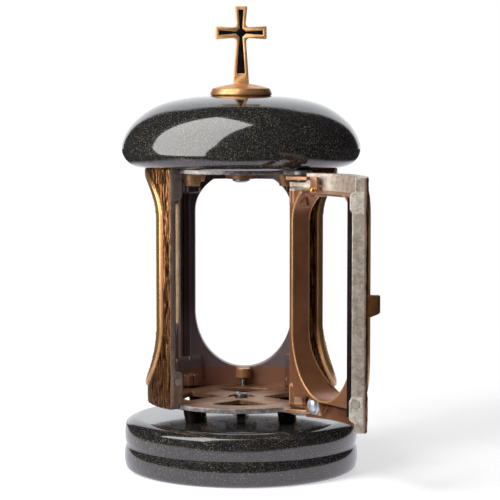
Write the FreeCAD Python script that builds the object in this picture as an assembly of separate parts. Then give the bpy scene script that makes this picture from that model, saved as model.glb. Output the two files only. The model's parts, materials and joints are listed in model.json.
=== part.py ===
import FreeCAD, Part
import math
import os

# Grave lantern: a granite base and cap with a cast body between them, whose front panel is a door.
# Millimetres and degrees. +Z is up, -Y is the front and the origin is the middle of the underside.
# Each quarter of the body is drawn at the front and turned to its place. The door is drawn shut
# and turned open at the end.

# Granite base: two rounded bands with a shallow groove between them, drawn from foot to top
base_radius = 75.0
base_height = 33.5
base_profile_radius_shares = (0.933, 0.9645, 0.990, 1.0, 0.984, 0.996, 0.989, 0.946, 0.893)
base_profile_height_shares = (0.0, 0.020, 0.080, 0.240, 0.500, 0.720, 0.904, 0.973, 1.0)

# Granite cap: a flat underside, a round edge, a domed top and a small flat crown for the finial
cap_radius = 76.0
cap_edge_height = 12.0
cap_dome_height = 32.7
cap_dome_radius_shares = (1.0, 0.989, 0.926, 0.828, 0.688, 0.549, 0.247)
cap_dome_height_shares = (0.0, 0.128, 0.401, 0.624, 0.819, 0.920, 1.0)

# Cast body: the ring that its four panels make
body_radius = 60.0
panel_wall = 7.2
panel_height = 150.5
panel_lift = 0.6
panel_edge_gap = 0.45
low_band_height = 8.5
high_band_height = 10.7
band_backing = 2.2
field_depth = 1.2
field_edge = 5.5
edge_strip_depth = 2.7
window_frame_margin = 3.0

# Window of each panel: a tall opening with half an ellipse at each end and a raised rim
window_edge_margin = 6.4
window_sill_height = 13.9
window_head_height = 5.2
window_low_end = 39.0
window_high_end = 26.0
rim_width = 4.0
rim_height = 1.4

# Corner blocks inside the upright edges of each panel
block_rise = 3.0
block_depth = 11.0
block_gap = 0.1
block_corner_round = 2.6
fixed_low_block_height = 20.7
fixed_high_block_height = 15.9
door_low_block_lift = 3.8
door_low_block_height = 14.3
door_high_block_drop = 6.6
door_high_block_height = 11.8

# Floor plate and top plate: four openings, four feet, a hub and a hinge ear each
foot_height = 9.3
plate_thickness = 3.0
top_plate_drop = 0.3
plate_edge_gap = 0.4
plate_rim_width = 14.8
plate_spoke_half_width = 10.1
plate_hole_round = 2.0
plate_recess_radius = 8.5
plate_recess_depth = 1.0
plate_hub_radius = 10.0
plate_hub_height = 4.6
foot_inset = 10.7
foot_root_radius = 6.4
foot_end_radius = 4.6
top_foot_height = 7.8
ear_radius = 6.3
ear_neck_half_width = 5.2

# Door and hinge
door_drop = 0.3
door_top_gap = 1.3
door_backing_drop = 1.6
door_hinge_edge_gap = 3.2
door_notch_height = 5.4
door_notch_reach = 7.6
hinge_offset = 4.2
hinge_azimuth = -52.5
door_open_angle = 123.3
pin_radius = 2.0
pin_fit = 0.04
pin_head_radius = 3.6
pin_head_height = 1.2

# Flat seat for the pane inside the door, round its window
seat_depth = 20.6
seat_low_rise = 12.9
seat_high_drop = 10.6
seat_screw_gap = 0.5

# Hinge brackets: an eye over the ear, an arm inside the wall and an upright tab
bracket_thickness = 2.0
bracket_slide_gap = 0.2
bracket_eye_radius = 6.0
bracket_neck_half_width = 4.4
bracket_arm_width = 4.2
bracket_arm_reach = 6.2
bracket_wall_gap = 0.4
low_tab_half_width = 5.0
high_tab_half_width = 3.4
tab_round = 2.4
low_screw_side = 16.6
high_screw_side = 18.6
low_screw_rise = 6.2
high_screw_drop = 8.8

# Bracket screws and washers
bracket_screw_radius = 1.9
bracket_screw_grip = 6.0
bracket_screw_clearance = 0.2
low_screw_head_radius = 4.3
low_screw_head_height = 2.6
low_washer_radius = 5.8
low_washer_thickness = 1.2
high_screw_head_radius = 2.6
high_screw_head_height = 2.0
high_washer_radius = 3.3
high_washer_thickness = 0.8

# Door knob, the rib and seal strip along the free edge, and the catch magnets
knob_height = 73.2
knob_tip_height = 10.5
knob_root_height = 13.2
knob_reach = 7.4
knob_width = 4.6
knob_round = 1.2
knob_edge_gap = 0.9
knob_peg_radius = 1.6
knob_peg_length = 4.0
edge_rib_rise = 1.6
edge_rib_width = 5.2
strip_rise = 2.9
strip_width = 3.0
strip_setback = 1.4
strip_end_margin = 1.0
magnet_radius = 2.4
magnet_length = 3.0
magnet_height = 14.4

# Lugs on the fixed panels, with the screws that hold the panels to the plates
lug_reach = 7.2
lug_half_width = 4.6
low_lug_lift = 4.6
low_lug_height = 6.5
high_lug_drop = 2.0
high_lug_height = 4.6
lug_screw_inset = 3.0
lug_screw_radius = 1.9
lug_screw_clearance = 0.25
lug_screw_end_margin = 1.0
lug_screw_tip_gap = 0.4
lug_screw_head_radius = 3.2
lug_screw_head_height = 2.4
lug_screw_sink = 1.6

# Small lugs on the corner blocks at the back, with the screws that join them across the joint
corner_lug_rise = 4.4
corner_lug_width = 4.8
corner_lug_half_height = 3.6
corner_screw_radius = 1.3
corner_screw_head_radius = 2.1
corner_screw_head_height = 1.7
corner_screw_tip_margin = 0.8
corner_screw_low_height = 5.4
corner_screw_high_drop = 12.0

# Centre bolts and the threaded inserts set in the granite
bolt_radius = 3.0
bolt_clearance = 0.25
bolt_engagement = 12.0
bolt_tip_space = 3.0
base_bolt_head_radius = 4.2
base_bolt_head_height = 3.0
base_bolt_socket_radius = 2.2
cap_bolt_head_radius = 5.5
cap_bolt_head_height = 2.4
anchor_radius = 5.5
anchor_length = 18.0
thread_fit = 0.03

# Finial: a disc, a cross with a dark inlay and the stud that holds them
disc_radius = 19.6
disc_foot_radius = 18.2
disc_top_radius = 18.3
disc_rim_height = 4.6
disc_dome_height = 3.0
disc_flat_radius = 5.7
stud_radius = 2.5
stud_depth = 14.0
stud_rise = 4.4
cross_height = 49.0
cross_thickness = 3.6
cross_arm_height = 32.3
cross_arm_reach = 16.2
cross_arm_end = 4.2
cross_arm_root = 3.2
cross_top_end = 4.0
cross_top_root = 2.6
cross_stem_root = 3.0
cross_foot = 5.0
cross_inner_round = 2.4
cross_outer_round = 0.9
tenon_half_width = 3.2
tenon_half_thickness = 1.2
tenon_depth = 2.2
socket_fit = 0.05
inlay_depth = 0.9
inlay_thickness = 0.65
inlay_end_margin = 2.3
inlay_foot_margin = 6.6
inlay_top_end = 1.6
inlay_top_root = 0.8
inlay_arm_end = 1.5
inlay_arm_root = 0.6
inlay_foot_end = 2.6
inlay_foot_root = 0.9
inlay_centre_reach = 3.2
inlay_centre_rise = 2.7

# One overrun serves every cut
overrun = 5.0

# Sizes that follow from the ones above
quarter = 90.0
half_quarter = quarter / 2
front = -90.0
fixed_turns = (1, 2, 3)
back_joint_sides = {1: (1,), 2: (1, -1), 3: (-1,)}
floor_plate_low = base_height + foot_height
floor_top = floor_plate_low + plate_thickness
panel_low = floor_plate_low + panel_lift
panel_high = panel_low + panel_height
top_plate_high = panel_high - top_plate_drop
top_plate_low = top_plate_high - plate_thickness
cap_low = panel_high
cap_edge_z = cap_low + cap_edge_height
cap_top = cap_edge_z + cap_dome_height
disc_top = cap_top + disc_rim_height + disc_dome_height
cross_centre = disc_top + cross_arm_height
panel_inner = body_radius - panel_wall
plate_radius = panel_inner - plate_edge_gap
block_inner = panel_inner - block_rise
block_outer = body_radius - panel_wall / 4
block_middle = (block_inner + block_outer) / 2
window_half_width = body_radius * math.sqrt(0.5) - rim_width - window_edge_margin
window_low_centre = panel_low + window_sill_height + window_low_end
window_high_centre = panel_high - window_head_height - window_high_end
door_low = panel_low - door_drop
door_high = panel_high - door_top_gap
hinge_radius = body_radius + hinge_offset
hinge_x = hinge_radius * math.cos(math.radians(hinge_azimuth))
hinge_y = hinge_radius * math.sin(math.radians(hinge_azimuth))
low_screw_height = floor_top + low_screw_rise
high_screw_height = top_plate_low - high_screw_drop
low_eye_low = floor_top + bracket_slide_gap
high_eye_low = top_plate_low - bracket_slide_gap - bracket_thickness
lug_screw_place = panel_inner - lug_reach + lug_screw_inset
corner_screw_heights = (floor_top + corner_screw_low_height, top_plate_low - corner_screw_high_drop)

V = FreeCAD.Vector
UP = V(0, 0, 1)
ORIGIN = V(0, 0, 0)


def polar(radius, angle, z=0.0):
    """Point at a radius and an angle in degrees about the lantern's axis."""
    return V(radius * math.cos(math.radians(angle)), radius * math.sin(math.radians(angle)), z)


def degrees_along(length, radius):
    """Angle that a length spans along a circle."""
    return math.degrees(length / radius)


def turned(shape, angle, centre=ORIGIN):
    """Copy of a shape turned about an upright axis."""
    copy = shape.copy()
    copy.rotate(centre, UP, angle)
    return copy


def post(radius, low, high, x=0.0, y=0.0):
    """Upright cylinder between two heights."""
    return Part.makeCylinder(radius, high - low, V(x, y, low), UP)


def rod(radius, start, direction, length):
    """Cylinder from a point along a direction."""
    return Part.makeCylinder(radius, length, start, direction)


def block(x0, x1, y0, y1, z0, z1):
    """Box between six planes."""
    return Part.makeBox(x1 - x0, y1 - y0, z1 - z0, V(x0, y0, z0))


def line(a, b):
    """Straight edge between two points."""
    return Part.LineSegment(a, b).toShape()


def arc(a, b, c):
    """Round edge through three points."""
    return Part.Arc(a, b, c).toShape()


def prism(points, direction):
    """Solid made by pushing a closed outline of points along a direction."""
    return Part.Face(Part.makePolygon(points + points[:1])).extrude(direction)


def spun(edges):
    """Solid made by turning a closed outline in the XZ plane about the axis."""
    return Part.Face(Part.Wire(edges)).revolve(ORIGIN, UP, 360)


def sector(inner, outer, low, high, start, end):
    """Piece of a ring wall between two radii, two heights and two angles."""
    middle = (start + end) / 2
    edges = [
        arc(polar(inner, start, low), polar(inner, middle, low), polar(inner, end, low)),
        line(polar(inner, end, low), polar(outer, end, low)),
        arc(polar(outer, end, low), polar(outer, middle, low), polar(outer, start, low)),
        line(polar(outer, start, low), polar(inner, start, low)),
    ]
    return Part.Face(Part.Wire(edges)).extrude(V(0, 0, high - low))


def rounded(shape, size, wanted):
    """Shape with the edges that a test picks rounded off."""
    return shape.makeFillet(size, [edge for edge in shape.Edges if wanted(edge)])


def runs_along(edge, axis):
    """Whether a straight edge runs along an axis."""
    return abs(edge.tangentAt(edge.FirstParameter).dot(axis)) > math.cos(math.radians(1))


def half_ellipse(half_width, y, centre, rise):
    """Edge from side to side of a window's end, over a crown that rises from its centre or hangs below it."""
    side, crown = V(half_width, y, centre), V(0, y, centre + rise)
    if half_width > abs(rise):
        return Part.Arc(Part.Ellipse(side, crown, V(0, y, centre)), 0, math.pi).toShape()
    return Part.Arc(Part.Ellipse(crown, side, V(0, y, centre)), -math.pi / 2, math.pi / 2).toShape()


def oval(margin, near, far):
    """The window, widened all round by a margin, standing in XZ and pushed from one Y to another."""
    half_width = window_half_width + margin
    edges = [half_ellipse(half_width, near, window_low_centre, -window_low_end - margin),
             half_ellipse(half_width, near, window_high_centre, window_high_end + margin)]
    edges += [line(V(side, near, window_low_centre), V(side, near, window_high_centre))
              for side in (half_width, -half_width)]
    return Part.Face(Part.Wire(Part.__sortEdges__(edges))).extrude(V(0, far - near, 0))


def pan_head(radius, height):
    """Round screw head on the origin with a cross slot, rising along +Z."""
    half = height / 2
    outline = [
        line(ORIGIN, V(radius, 0, 0)),
        line(V(radius, 0, 0), V(radius, 0, half)),
        arc(V(radius, 0, half), V(radius * math.sqrt(0.5), 0, half + half * math.sqrt(0.5)), V(0, 0, height)),
        line(V(0, 0, height), ORIGIN),
    ]
    slot = block(-radius / 2, radius / 2, -height / 8, height / 8, half, height + half)
    return spun(outline).cut(slot).cut(turned(slot, quarter))


def placed_along_y(shape, x, y, z, way):
    """Shape that rises along +Z laid along Y, forwards or backwards, and moved to a point."""
    copy = shape.copy()
    copy.rotate(ORIGIN, V(1, 0, 0), -way * quarter)
    copy.translate(V(x, y, z))
    return copy


def granite_base():
    """Round base with two bulging bands and a hollow for its threaded insert."""
    points = [V(base_radius * r, 0, base_height * h)
              for r, h in zip(base_profile_radius_shares, base_profile_height_shares)]
    edges = [line(ORIGIN, points[0])]
    for first in range(0, len(points) - 2, 2):
        edges.append(arc(*points[first:first + 3]))
    edges += [line(points[-1], V(0, 0, base_height)), line(V(0, 0, base_height), ORIGIN)]
    return spun(edges).cut(post(anchor_radius + thread_fit, base_height - anchor_length, base_height + overrun))


def granite_cap():
    """Domed cap with hollows for its threaded insert and for the finial's stud."""
    flat_radius = cap_radius - cap_edge_height
    lean = cap_edge_height * math.sqrt(0.5)
    dome = [V(cap_radius * r, 0, cap_edge_z + cap_dome_height * h)
            for r, h in zip(cap_dome_radius_shares, cap_dome_height_shares)]
    curve = Part.BSplineCurve()
    curve.interpolate(Points=dome, InitialTangent=UP, FinalTangent=V(-1, 0, 0))
    cap = spun([
        line(V(0, 0, cap_low), V(flat_radius, 0, cap_low)),
        arc(V(flat_radius, 0, cap_low), V(flat_radius + lean, 0, cap_edge_z - lean), dome[0]),
        curve.toShape(),
        line(dome[-1], V(0, 0, cap_top)),
        line(V(0, 0, cap_top), V(0, 0, cap_low)),
    ])
    cap = cap.cut(post(anchor_radius + thread_fit, cap_low - overrun, cap_low + anchor_length))
    return cap.cut(post(stud_radius + socket_fit, cap_top - stud_depth, cap_top + overrun))


def base_anchor():
    """Threaded insert in the base, open at the top."""
    shape = post(anchor_radius, base_height - anchor_length, base_height)
    bore_low = base_height - bolt_engagement - bolt_tip_space
    return shape.cut(post(bolt_radius + thread_fit, bore_low, base_height + overrun))


def cap_anchor():
    """Threaded insert in the cap, open at the bottom."""
    shape = post(anchor_radius, cap_low, cap_low + anchor_length)
    bore_high = cap_low + bolt_engagement + bolt_tip_space
    return shape.cut(post(bolt_radius + thread_fit, cap_low - overrun, bore_high))


def plate_opening(low):
    """One of the four openings of a plate, between its spokes."""
    radius = plate_radius - plate_rim_width
    reach = half_quarter - math.degrees(math.asin(plate_spoke_half_width / radius))
    tip = V(0, -plate_spoke_half_width * math.sqrt(2), low - overrun)
    left, right = (polar(radius, front + way * reach, low - overrun) for way in (-1, 1))
    edges = [line(tip, right), arc(right, polar(radius, front, low - overrun), left), line(left, tip)]
    shape = Part.Face(Part.Wire(edges)).extrude(V(0, 0, plate_thickness + 2 * overrun))
    return rounded(shape, plate_hole_round, lambda edge: runs_along(edge, UP))


def plate(low):
    """Round plate with four openings and its hinge ear, without its feet and hub."""
    high = low + plate_thickness
    shape = post(plate_radius, low, high)
    for turn in range(4):
        shape = shape.cut(turned(plate_opening(low), turn * quarter))
    neck = block(plate_radius - ear_neck_half_width, hinge_radius, -ear_neck_half_width, ear_neck_half_width,
                 low, high)
    shape = shape.fuse(turned(neck, hinge_azimuth)).fuse(post(ear_radius, low, high, hinge_x, hinge_y))
    return shape.cut(post(pin_radius + thread_fit, low - overrun, high + overrun, hinge_x, hinge_y))


def with_feet(shape, root, way, height):
    """Plate with its four tapered feet, which point up or down from a height."""
    for turn in range(4):
        place = polar(plate_radius - foot_inset, half_quarter + turn * quarter, root)
        shape = shape.fuse(Part.makeCone(foot_root_radius, foot_end_radius, height, place, way))
    return shape


def panel_screw_place(turn):
    """Place of the screw through a panel's lug, for the panel turned so many quarters."""
    point = polar(lug_screw_place, front + turn * quarter)
    return point.x, point.y


def floor_plate():
    """Floor of the candle space, on four feet."""
    hub_low = floor_plate_low - plate_hub_height
    shape = with_feet(plate(floor_plate_low), floor_plate_low, -UP, foot_height)
    shape = shape.fuse(post(plate_hub_radius, hub_low, floor_plate_low))
    shape = shape.cut(post(plate_recess_radius, floor_top - plate_recess_depth, floor_top + overrun))
    shape = shape.cut(post(bolt_radius + bolt_clearance, hub_low - overrun, floor_top))
    for turn in fixed_turns:
        x, y = panel_screw_place(turn)
        hole_radius = lug_screw_radius + lug_screw_clearance
        shape = shape.cut(post(hole_radius, floor_plate_low - overrun, floor_top + overrun, x, y))
    return shape.removeSplitter()


def top_plate():
    """The same plate turned over, under the cap."""
    hub_low = top_plate_low - plate_hub_height
    shape = with_feet(plate(top_plate_low), top_plate_low, -UP, top_foot_height)
    shape = shape.fuse(post(plate_hub_radius, hub_low, top_plate_low))
    shape = shape.cut(post(plate_recess_radius, top_plate_high - plate_recess_depth, top_plate_high + overrun))
    shape = shape.cut(post(bolt_radius + bolt_clearance, hub_low - overrun, top_plate_high))
    for turn in fixed_turns:
        shape = shape.cut(sunk_screw(turn, lug_screw_clearance))
    return shape.removeSplitter()


def shallow_field(low, high):
    """Shallow field to cut inside the middle of a panel, between its upper and lower bands."""
    reach = half_quarter - degrees_along(field_edge, panel_inner)
    return sector(panel_inner - overrun, panel_inner + field_depth, low + low_band_height, high - high_band_height,
                  front - reach, front + reach)


def edge_strips(low, high):
    """Deeper strips to cut along both edges of a panel, outside the thick frame of its window."""
    frame = window_half_width + window_frame_margin
    strips = sector(panel_inner - overrun, panel_inner + edge_strip_depth, low + low_band_height,
                    high - high_band_height, front - half_quarter, front + half_quarter)
    return strips.cut(block(-frame, frame, -body_radius, 0, low, high))


def panel_wall_shape(low, high, start, end, backing_low, hollow, seat=None):
    """Panel wall with its raised rim, less a hollow inside it, with any seat for a pane and its window."""
    wall = sector(panel_inner, body_radius, low, high, start, end)
    near, far = -body_radius - rim_height - overrun, -panel_inner / 2
    rim = sector(panel_inner, body_radius + rim_height, low, high, start, end)
    wall = wall.fuse(rim.common(oval(rim_width, near, far)))
    wall = wall.cut(hollow)
    if seat:
        wall = wall.fuse(seat)
    backing = sector(panel_inner / 2, panel_inner + band_backing, backing_low, high + overrun,
                     front - half_quarter, front + half_quarter)
    return wall.cut(oval(0, near, far).cut(backing))


def edge_angle(gap):
    """Angle from a panel's middle to its end face, for a gap to the joint plane."""
    return half_quarter - degrees_along(gap, body_radius)


def corner_block(side, low, high, gap, low_free, high_free):
    """Block beside a joint between two panels, with its free ends rounded; side is 1 or -1."""
    y0, y1 = sorted((-side * gap, -side * (gap + block_depth)))
    shape = block(block_inner, block_outer, y0, y1, low, high)

    def free_end(edge):
        middle = edge.CenterOfMass
        inner = middle.x < block_middle - block_rise / 2
        at_end = (low_free and middle.z < low + block_corner_round / 2) or (
            high_free and middle.z > high - block_corner_round / 2)
        return inner and at_end and runs_along(edge, V(0, 1, 0))

    return turned(rounded(shape, block_corner_round, free_end), front + side * half_quarter)


def corner_lug(side, height):
    """Small lug on a corner block, beside the joint that its screw crosses."""
    y0, y1 = sorted((-side * block_gap, -side * (block_gap + corner_lug_width)))
    shape = block(block_inner - corner_lug_rise, block_middle, y0, y1, height - corner_lug_half_height,
                  height + corner_lug_half_height)
    return turned(shape, front + side * half_quarter)


def lug(low, high):
    """Lug inside the middle of a panel, with a round nose."""
    nose = panel_inner - lug_reach + lug_half_width
    root = panel_inner + field_depth + band_backing / 2
    straight = block(-lug_half_width, lug_half_width, -root, -nose, low, high)
    return straight.fuse(post(lug_half_width, low, high, 0, -nose))


def fixed_panel(turn):
    """One of the three panels that stay, drawn at the front: wall, rim, blocks and lugs."""
    reach = edge_angle(panel_edge_gap)
    shape = panel_wall_shape(panel_low, panel_high, front - reach, front + reach, panel_high - high_band_height,
                             edge_strips(panel_low, panel_high))
    for side in (1, -1):
        shape = shape.fuse(corner_block(side, floor_top, floor_top + fixed_low_block_height, block_gap, False, True))
        shape = shape.fuse(corner_block(side, top_plate_low - fixed_high_block_height, top_plate_low, block_gap,
                                        True, False))
    low_lug = floor_top + low_lug_lift
    high_lug = top_plate_low - high_lug_drop
    shape = shape.fuse(lug(low_lug, low_lug + low_lug_height)).fuse(lug(high_lug - high_lug_height, high_lug))
    hole = lug_screw_radius + thread_fit
    low_tip = low_lug + low_lug_height - lug_screw_end_margin
    high_tip = high_lug - high_lug_height + lug_screw_end_margin
    shape = shape.cut(post(hole, low_lug - overrun, low_tip + lug_screw_tip_gap, 0, -lug_screw_place))
    shape = shape.cut(post(hole, high_tip - lug_screw_tip_gap, high_lug + overrun, 0, -lug_screw_place))
    for side in back_joint_sides[turn]:
        for height in corner_screw_heights:
            shape = shape.fuse(corner_lug(side, height))
    shape = turned(shape, turn * quarter)
    for screw in corner_screw_set(thread_fit):
        shape = shape.cut(screw)
    return shape


def corner_screw(side, height, spare):
    """Screw from the back panel's lug into the next lug, its shank widened by some spare room."""
    head_face = block_gap + corner_lug_width
    shank_length = 2 * head_face - corner_screw_tip_margin + spare
    start = V(block_inner - corner_lug_rise / 2, -side * head_face, height)
    shape = rod(corner_screw_radius + spare, start, V(0, side, 0), shank_length)
    if spare == 0:
        head = pan_head(corner_screw_head_radius, corner_screw_head_height)
        shape = shape.fuse(placed_along_y(head, start.x, start.y, start.z, -side))
    return turned(shape, front + 2 * quarter + side * half_quarter)


def corner_screw_set(spare):
    """The four screws of the back panel, or their holes with some spare room."""
    return [corner_screw(side, height, spare) for side in (1, -1) for height in corner_screw_heights]


def tab_outer(screw_x, half_width):
    """Depth of a tab's outer face, just inside the wall at the tab's far corner."""
    return math.sqrt(panel_inner ** 2 - (screw_x + half_width) ** 2) - bracket_wall_gap


def tab_inner(screw_x, half_width):
    """Depth of a tab's inner face."""
    return tab_outer(screw_x, half_width) - bracket_thickness


def magnet(side, spare):
    """Round catch magnet at the joint on the free side of the door, on one side of that joint."""
    start = V(block_middle, -side * block_gap, floor_top + magnet_height)
    return turned(rod(magnet_radius + spare, start, V(0, -side, 0), magnet_length), front - half_quarter)


def door_seat(start, end):
    """Flat face for the pane inside the door: fills the wall's hollow, clear of the bracket screws."""
    low, high = door_low + seat_low_rise, door_high - seat_high_drop
    flat = seat_depth - body_radius
    shape = sector(panel_inner / 2, panel_inner + (field_depth + band_backing) / 2, low, high, start, end)
    shape = shape.cut(block(-body_radius, body_radius, flat, 0, low - overrun, high + overrun))
    for x, z, radius in ((low_screw_side, low_screw_height, low_washer_radius),
                         (high_screw_side, high_screw_height, high_tab_half_width)):
        shape = shape.cut(rod(radius + seat_screw_gap, V(x, flat + overrun, z), V(0, -1, 0), body_radius))
    return shape


def door_panel():
    """Door casting: wall, rim, pane seat, shorter blocks, notches for the ears and bosses for the brackets."""
    free_end = front - edge_angle(panel_edge_gap)
    hinge_end = front + edge_angle(door_hinge_edge_gap)
    backing_low = door_high - high_band_height - door_backing_drop
    rib_inner = panel_inner - edge_rib_rise
    rib_end = free_end + degrees_along(edge_rib_width, panel_inner)
    shape = panel_wall_shape(door_low, door_high, free_end, hinge_end, backing_low,
                             shallow_field(door_low, door_high), door_seat(rib_end, hinge_end))
    notch_start = hinge_azimuth - degrees_along(door_notch_reach, body_radius)
    for low, high in ((door_low - overrun, door_low + door_notch_height),
                      (door_high - door_notch_height, door_high + overrun)):
        shape = shape.cut(sector(panel_inner - overrun, body_radius + overrun, low, high, notch_start,
                                 front + half_quarter))
    shape = shape.fuse(sector(rib_inner, panel_inner + field_depth, door_low + low_band_height,
                              door_high - high_band_height, free_end, rib_end))
    low_block = floor_top + door_low_block_lift
    high_block = top_plate_low - door_high_block_drop
    for side, gap in ((1, door_hinge_edge_gap), (-1, block_gap)):
        shape = shape.fuse(corner_block(side, low_block, low_block + door_low_block_height, gap, True, True))
        shape = shape.fuse(corner_block(side, high_block - door_high_block_height, high_block, gap, True, True))
    hole_length = bracket_screw_grip + thread_fit
    for x, z, radius in ((low_screw_side, low_screw_height, low_tab_half_width),
                         (high_screw_side, high_screw_height, high_tab_half_width)):
        start = V(x, -tab_outer(x, radius), z)
        boss_length = panel_inner + field_depth + band_backing / 2 + start.y
        shape = shape.fuse(rod(radius, start, V(0, -1, 0), boss_length))
        shape = shape.cut(rod(bracket_screw_radius + thread_fit, start, V(0, -1, 0), hole_length))
    return shape.cut(magnet(-1, thread_fit)).cut(knob_peg(thread_fit))


def hinge_bracket(eye_low, tab_end, half_width, screw_x, screw_z):
    """Bent bracket: eye on the pin, arm inside the wall and a tab for its screw."""
    eye_high = eye_low + bracket_thickness
    arm_outer = panel_inner - bracket_wall_gap
    arm_inner = arm_outer - bracket_arm_width
    tab_left, tab_right = screw_x - half_width, screw_x + half_width
    eye = post(bracket_eye_radius, eye_low, eye_high, hinge_x, hinge_y)
    neck = block(arm_inner, hinge_radius, -bracket_neck_half_width, bracket_neck_half_width, eye_low, eye_high)
    arm = sector(arm_inner, arm_outer, eye_low, eye_high, front, hinge_azimuth + degrees_along(
        bracket_arm_reach, hinge_radius))
    arm = arm.cut(block(-overrun, tab_right, -body_radius, 0, eye_low - overrun, eye_high + overrun))
    tab_face = -tab_outer(screw_x, half_width)
    tab = block(tab_left, tab_right, tab_face, tab_face + bracket_thickness, min(eye_low, tab_end),
                max(eye_high, tab_end))

    def at_tab_end(edge):
        return abs(edge.CenterOfMass.z - tab_end) < bracket_thickness / 4 and runs_along(edge, V(0, 1, 0))

    tab = rounded(tab, tab_round, at_tab_end)
    shape = eye.fuse(turned(neck, hinge_azimuth)).fuse(arm).fuse(tab)
    shape = shape.cut(post(pin_radius + pin_fit, eye_low - overrun, eye_high + overrun, hinge_x, hinge_y))
    hole = rod(bracket_screw_radius + bracket_screw_clearance, V(screw_x, tab_face, screw_z), V(0, 1, 0),
               bracket_thickness)
    return shape.cut(hole).removeSplitter()


def lower_hinge_bracket():
    """Bracket that turns on the floor plate's ear."""
    tab_end = low_screw_height + low_tab_half_width
    return hinge_bracket(low_eye_low, tab_end, low_tab_half_width, low_screw_side, low_screw_height)


def upper_hinge_bracket():
    """Bracket that turns under the top plate's ear."""
    tab_end = high_screw_height - high_tab_half_width
    return hinge_bracket(high_eye_low, tab_end, high_tab_half_width, high_screw_side, high_screw_height)


def lower_hinge_pin():
    """Pin in the floor plate's ear, its head over the bracket's eye."""
    head_low = low_eye_low + bracket_thickness + bracket_slide_gap
    shank = post(pin_radius, floor_plate_low, head_low, hinge_x, hinge_y)
    return shank.fuse(post(pin_head_radius, head_low, head_low + pin_head_height, hinge_x, hinge_y))


def upper_hinge_pin():
    """Pin in the top plate's ear, its head under the bracket's eye."""
    head_high = high_eye_low - bracket_slide_gap
    shank = post(pin_radius, head_high, top_plate_high, hinge_x, hinge_y)
    return shank.fuse(post(pin_head_radius, head_high - pin_head_height, head_high, hinge_x, hinge_y))


def bracket_washer(x, z, half_width, radius, thickness):
    """Flat washer on a bracket's tab."""
    start = V(x, -tab_inner(x, half_width), z)
    hole = rod(bracket_screw_radius + bracket_screw_clearance, start, V(0, 1, 0), thickness)
    return rod(radius, start, V(0, 1, 0), thickness).cut(hole)


def bracket_screw(x, z, half_width, washer_thickness, head_radius, head_height):
    """Round-headed screw through a washer and a bracket's tab into the door."""
    face = washer_thickness - tab_inner(x, half_width)
    tip = -tab_outer(x, half_width) - bracket_screw_grip
    shank = rod(bracket_screw_radius, V(x, tip, z), V(0, 1, 0), face - tip)
    return shank.fuse(placed_along_y(pan_head(head_radius, head_height), x, face, z, 1))


def knob_azimuth():
    """Azimuth of the knob, beside the door's free edge."""
    inset = knob_edge_gap + knob_width / 2
    return front - edge_angle(panel_edge_gap) + degrees_along(inset, body_radius)


def knob_peg(spare):
    """Round peg of the knob, which sits in a hole of the door."""
    start = polar(body_radius - knob_peg_length, knob_azimuth(), floor_top + knob_height)
    return rod(knob_peg_radius + spare, start, polar(1, knob_azimuth()), knob_peg_length + knob_reach / 2)


def door_knob():
    """Small tab to pull the door by, taller at its root, with its peg."""
    high = floor_top + knob_height + knob_tip_height / 2
    tip = body_radius + knob_reach
    root = body_radius - knob_width / 4
    side = -knob_width / 2
    outline = [
        V(root, side, high - knob_root_height),
        V(body_radius + knob_round, side, high - knob_root_height),
        V(tip, side, high - knob_tip_height),
        V(tip, side, high),
        V(root, side, high),
    ]
    shape = prism(outline, V(0, knob_width, 0))
    shape = rounded(shape, knob_round, lambda edge: edge.CenterOfMass.x > tip - knob_round / 4)
    shape = shape.cut(post(body_radius + thread_fit, high - knob_root_height - overrun, high + overrun))
    return turned(shape, knob_azimuth()).fuse(knob_peg(0.0))


def door_seal_strip():
    """Dark strip inside the door's free edge, from band to band."""
    low = door_low + low_band_height + strip_end_margin
    high = door_high - high_band_height - strip_end_margin
    rib_inner = panel_inner - edge_rib_rise
    shape = block(rib_inner - strip_rise, body_radius, strip_setback, strip_setback + strip_width, low, high)
    shape = shape.common(post(rib_inner - thread_fit, low - overrun, high + overrun))
    low_block = floor_top + door_low_block_lift
    high_block = top_plate_low - door_high_block_drop
    for bottom, top in ((low_block, low_block + door_low_block_height),
                        (high_block - door_high_block_height, high_block)):
        shape = shape.cut(block(block_inner - thread_fit, body_radius, -overrun, block_depth + overrun,
                                bottom - thread_fit, top + thread_fit))
    return turned(shape, front - half_quarter)


def lower_panel_screws():
    """Screws up through the floor plate into the lower lugs."""
    tip = floor_top + low_lug_lift + low_lug_height - lug_screw_end_margin
    screws = []
    for turn in fixed_turns:
        x, y = panel_screw_place(turn)
        head = post(lug_screw_head_radius, floor_plate_low - lug_screw_head_height, floor_plate_low, x, y)
        screws.append(head.fuse(post(lug_screw_radius, floor_plate_low, tip, x, y)))
    return Part.makeCompound(screws)


def sunk_screw(turn, spare=0.0):
    """Flat-headed screw down through the top plate, or its hole with some spare room."""
    x, y = panel_screw_place(turn)
    tip = top_plate_low - high_lug_drop - high_lug_height + lug_screw_end_margin
    head_low = top_plate_high - lug_screw_sink
    head = Part.makeCone(lug_screw_radius + spare, lug_screw_head_radius + spare, lug_screw_sink, V(x, y, head_low), UP)
    return head.fuse(post(lug_screw_radius + spare, tip, head_low, x, y))


def base_bolt():
    """Socket-headed bolt from the floor plate's recess down into the base."""
    seat = floor_top - plate_recess_depth
    head = post(base_bolt_head_radius, seat, seat + base_bolt_head_height)
    corners = [polar(base_bolt_socket_radius, 60 * step, seat + base_bolt_head_height / 2) for step in range(6)]
    head = head.cut(prism(corners, V(0, 0, base_bolt_head_height)))
    return head.fuse(post(bolt_radius, base_height - bolt_engagement, seat))


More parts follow.
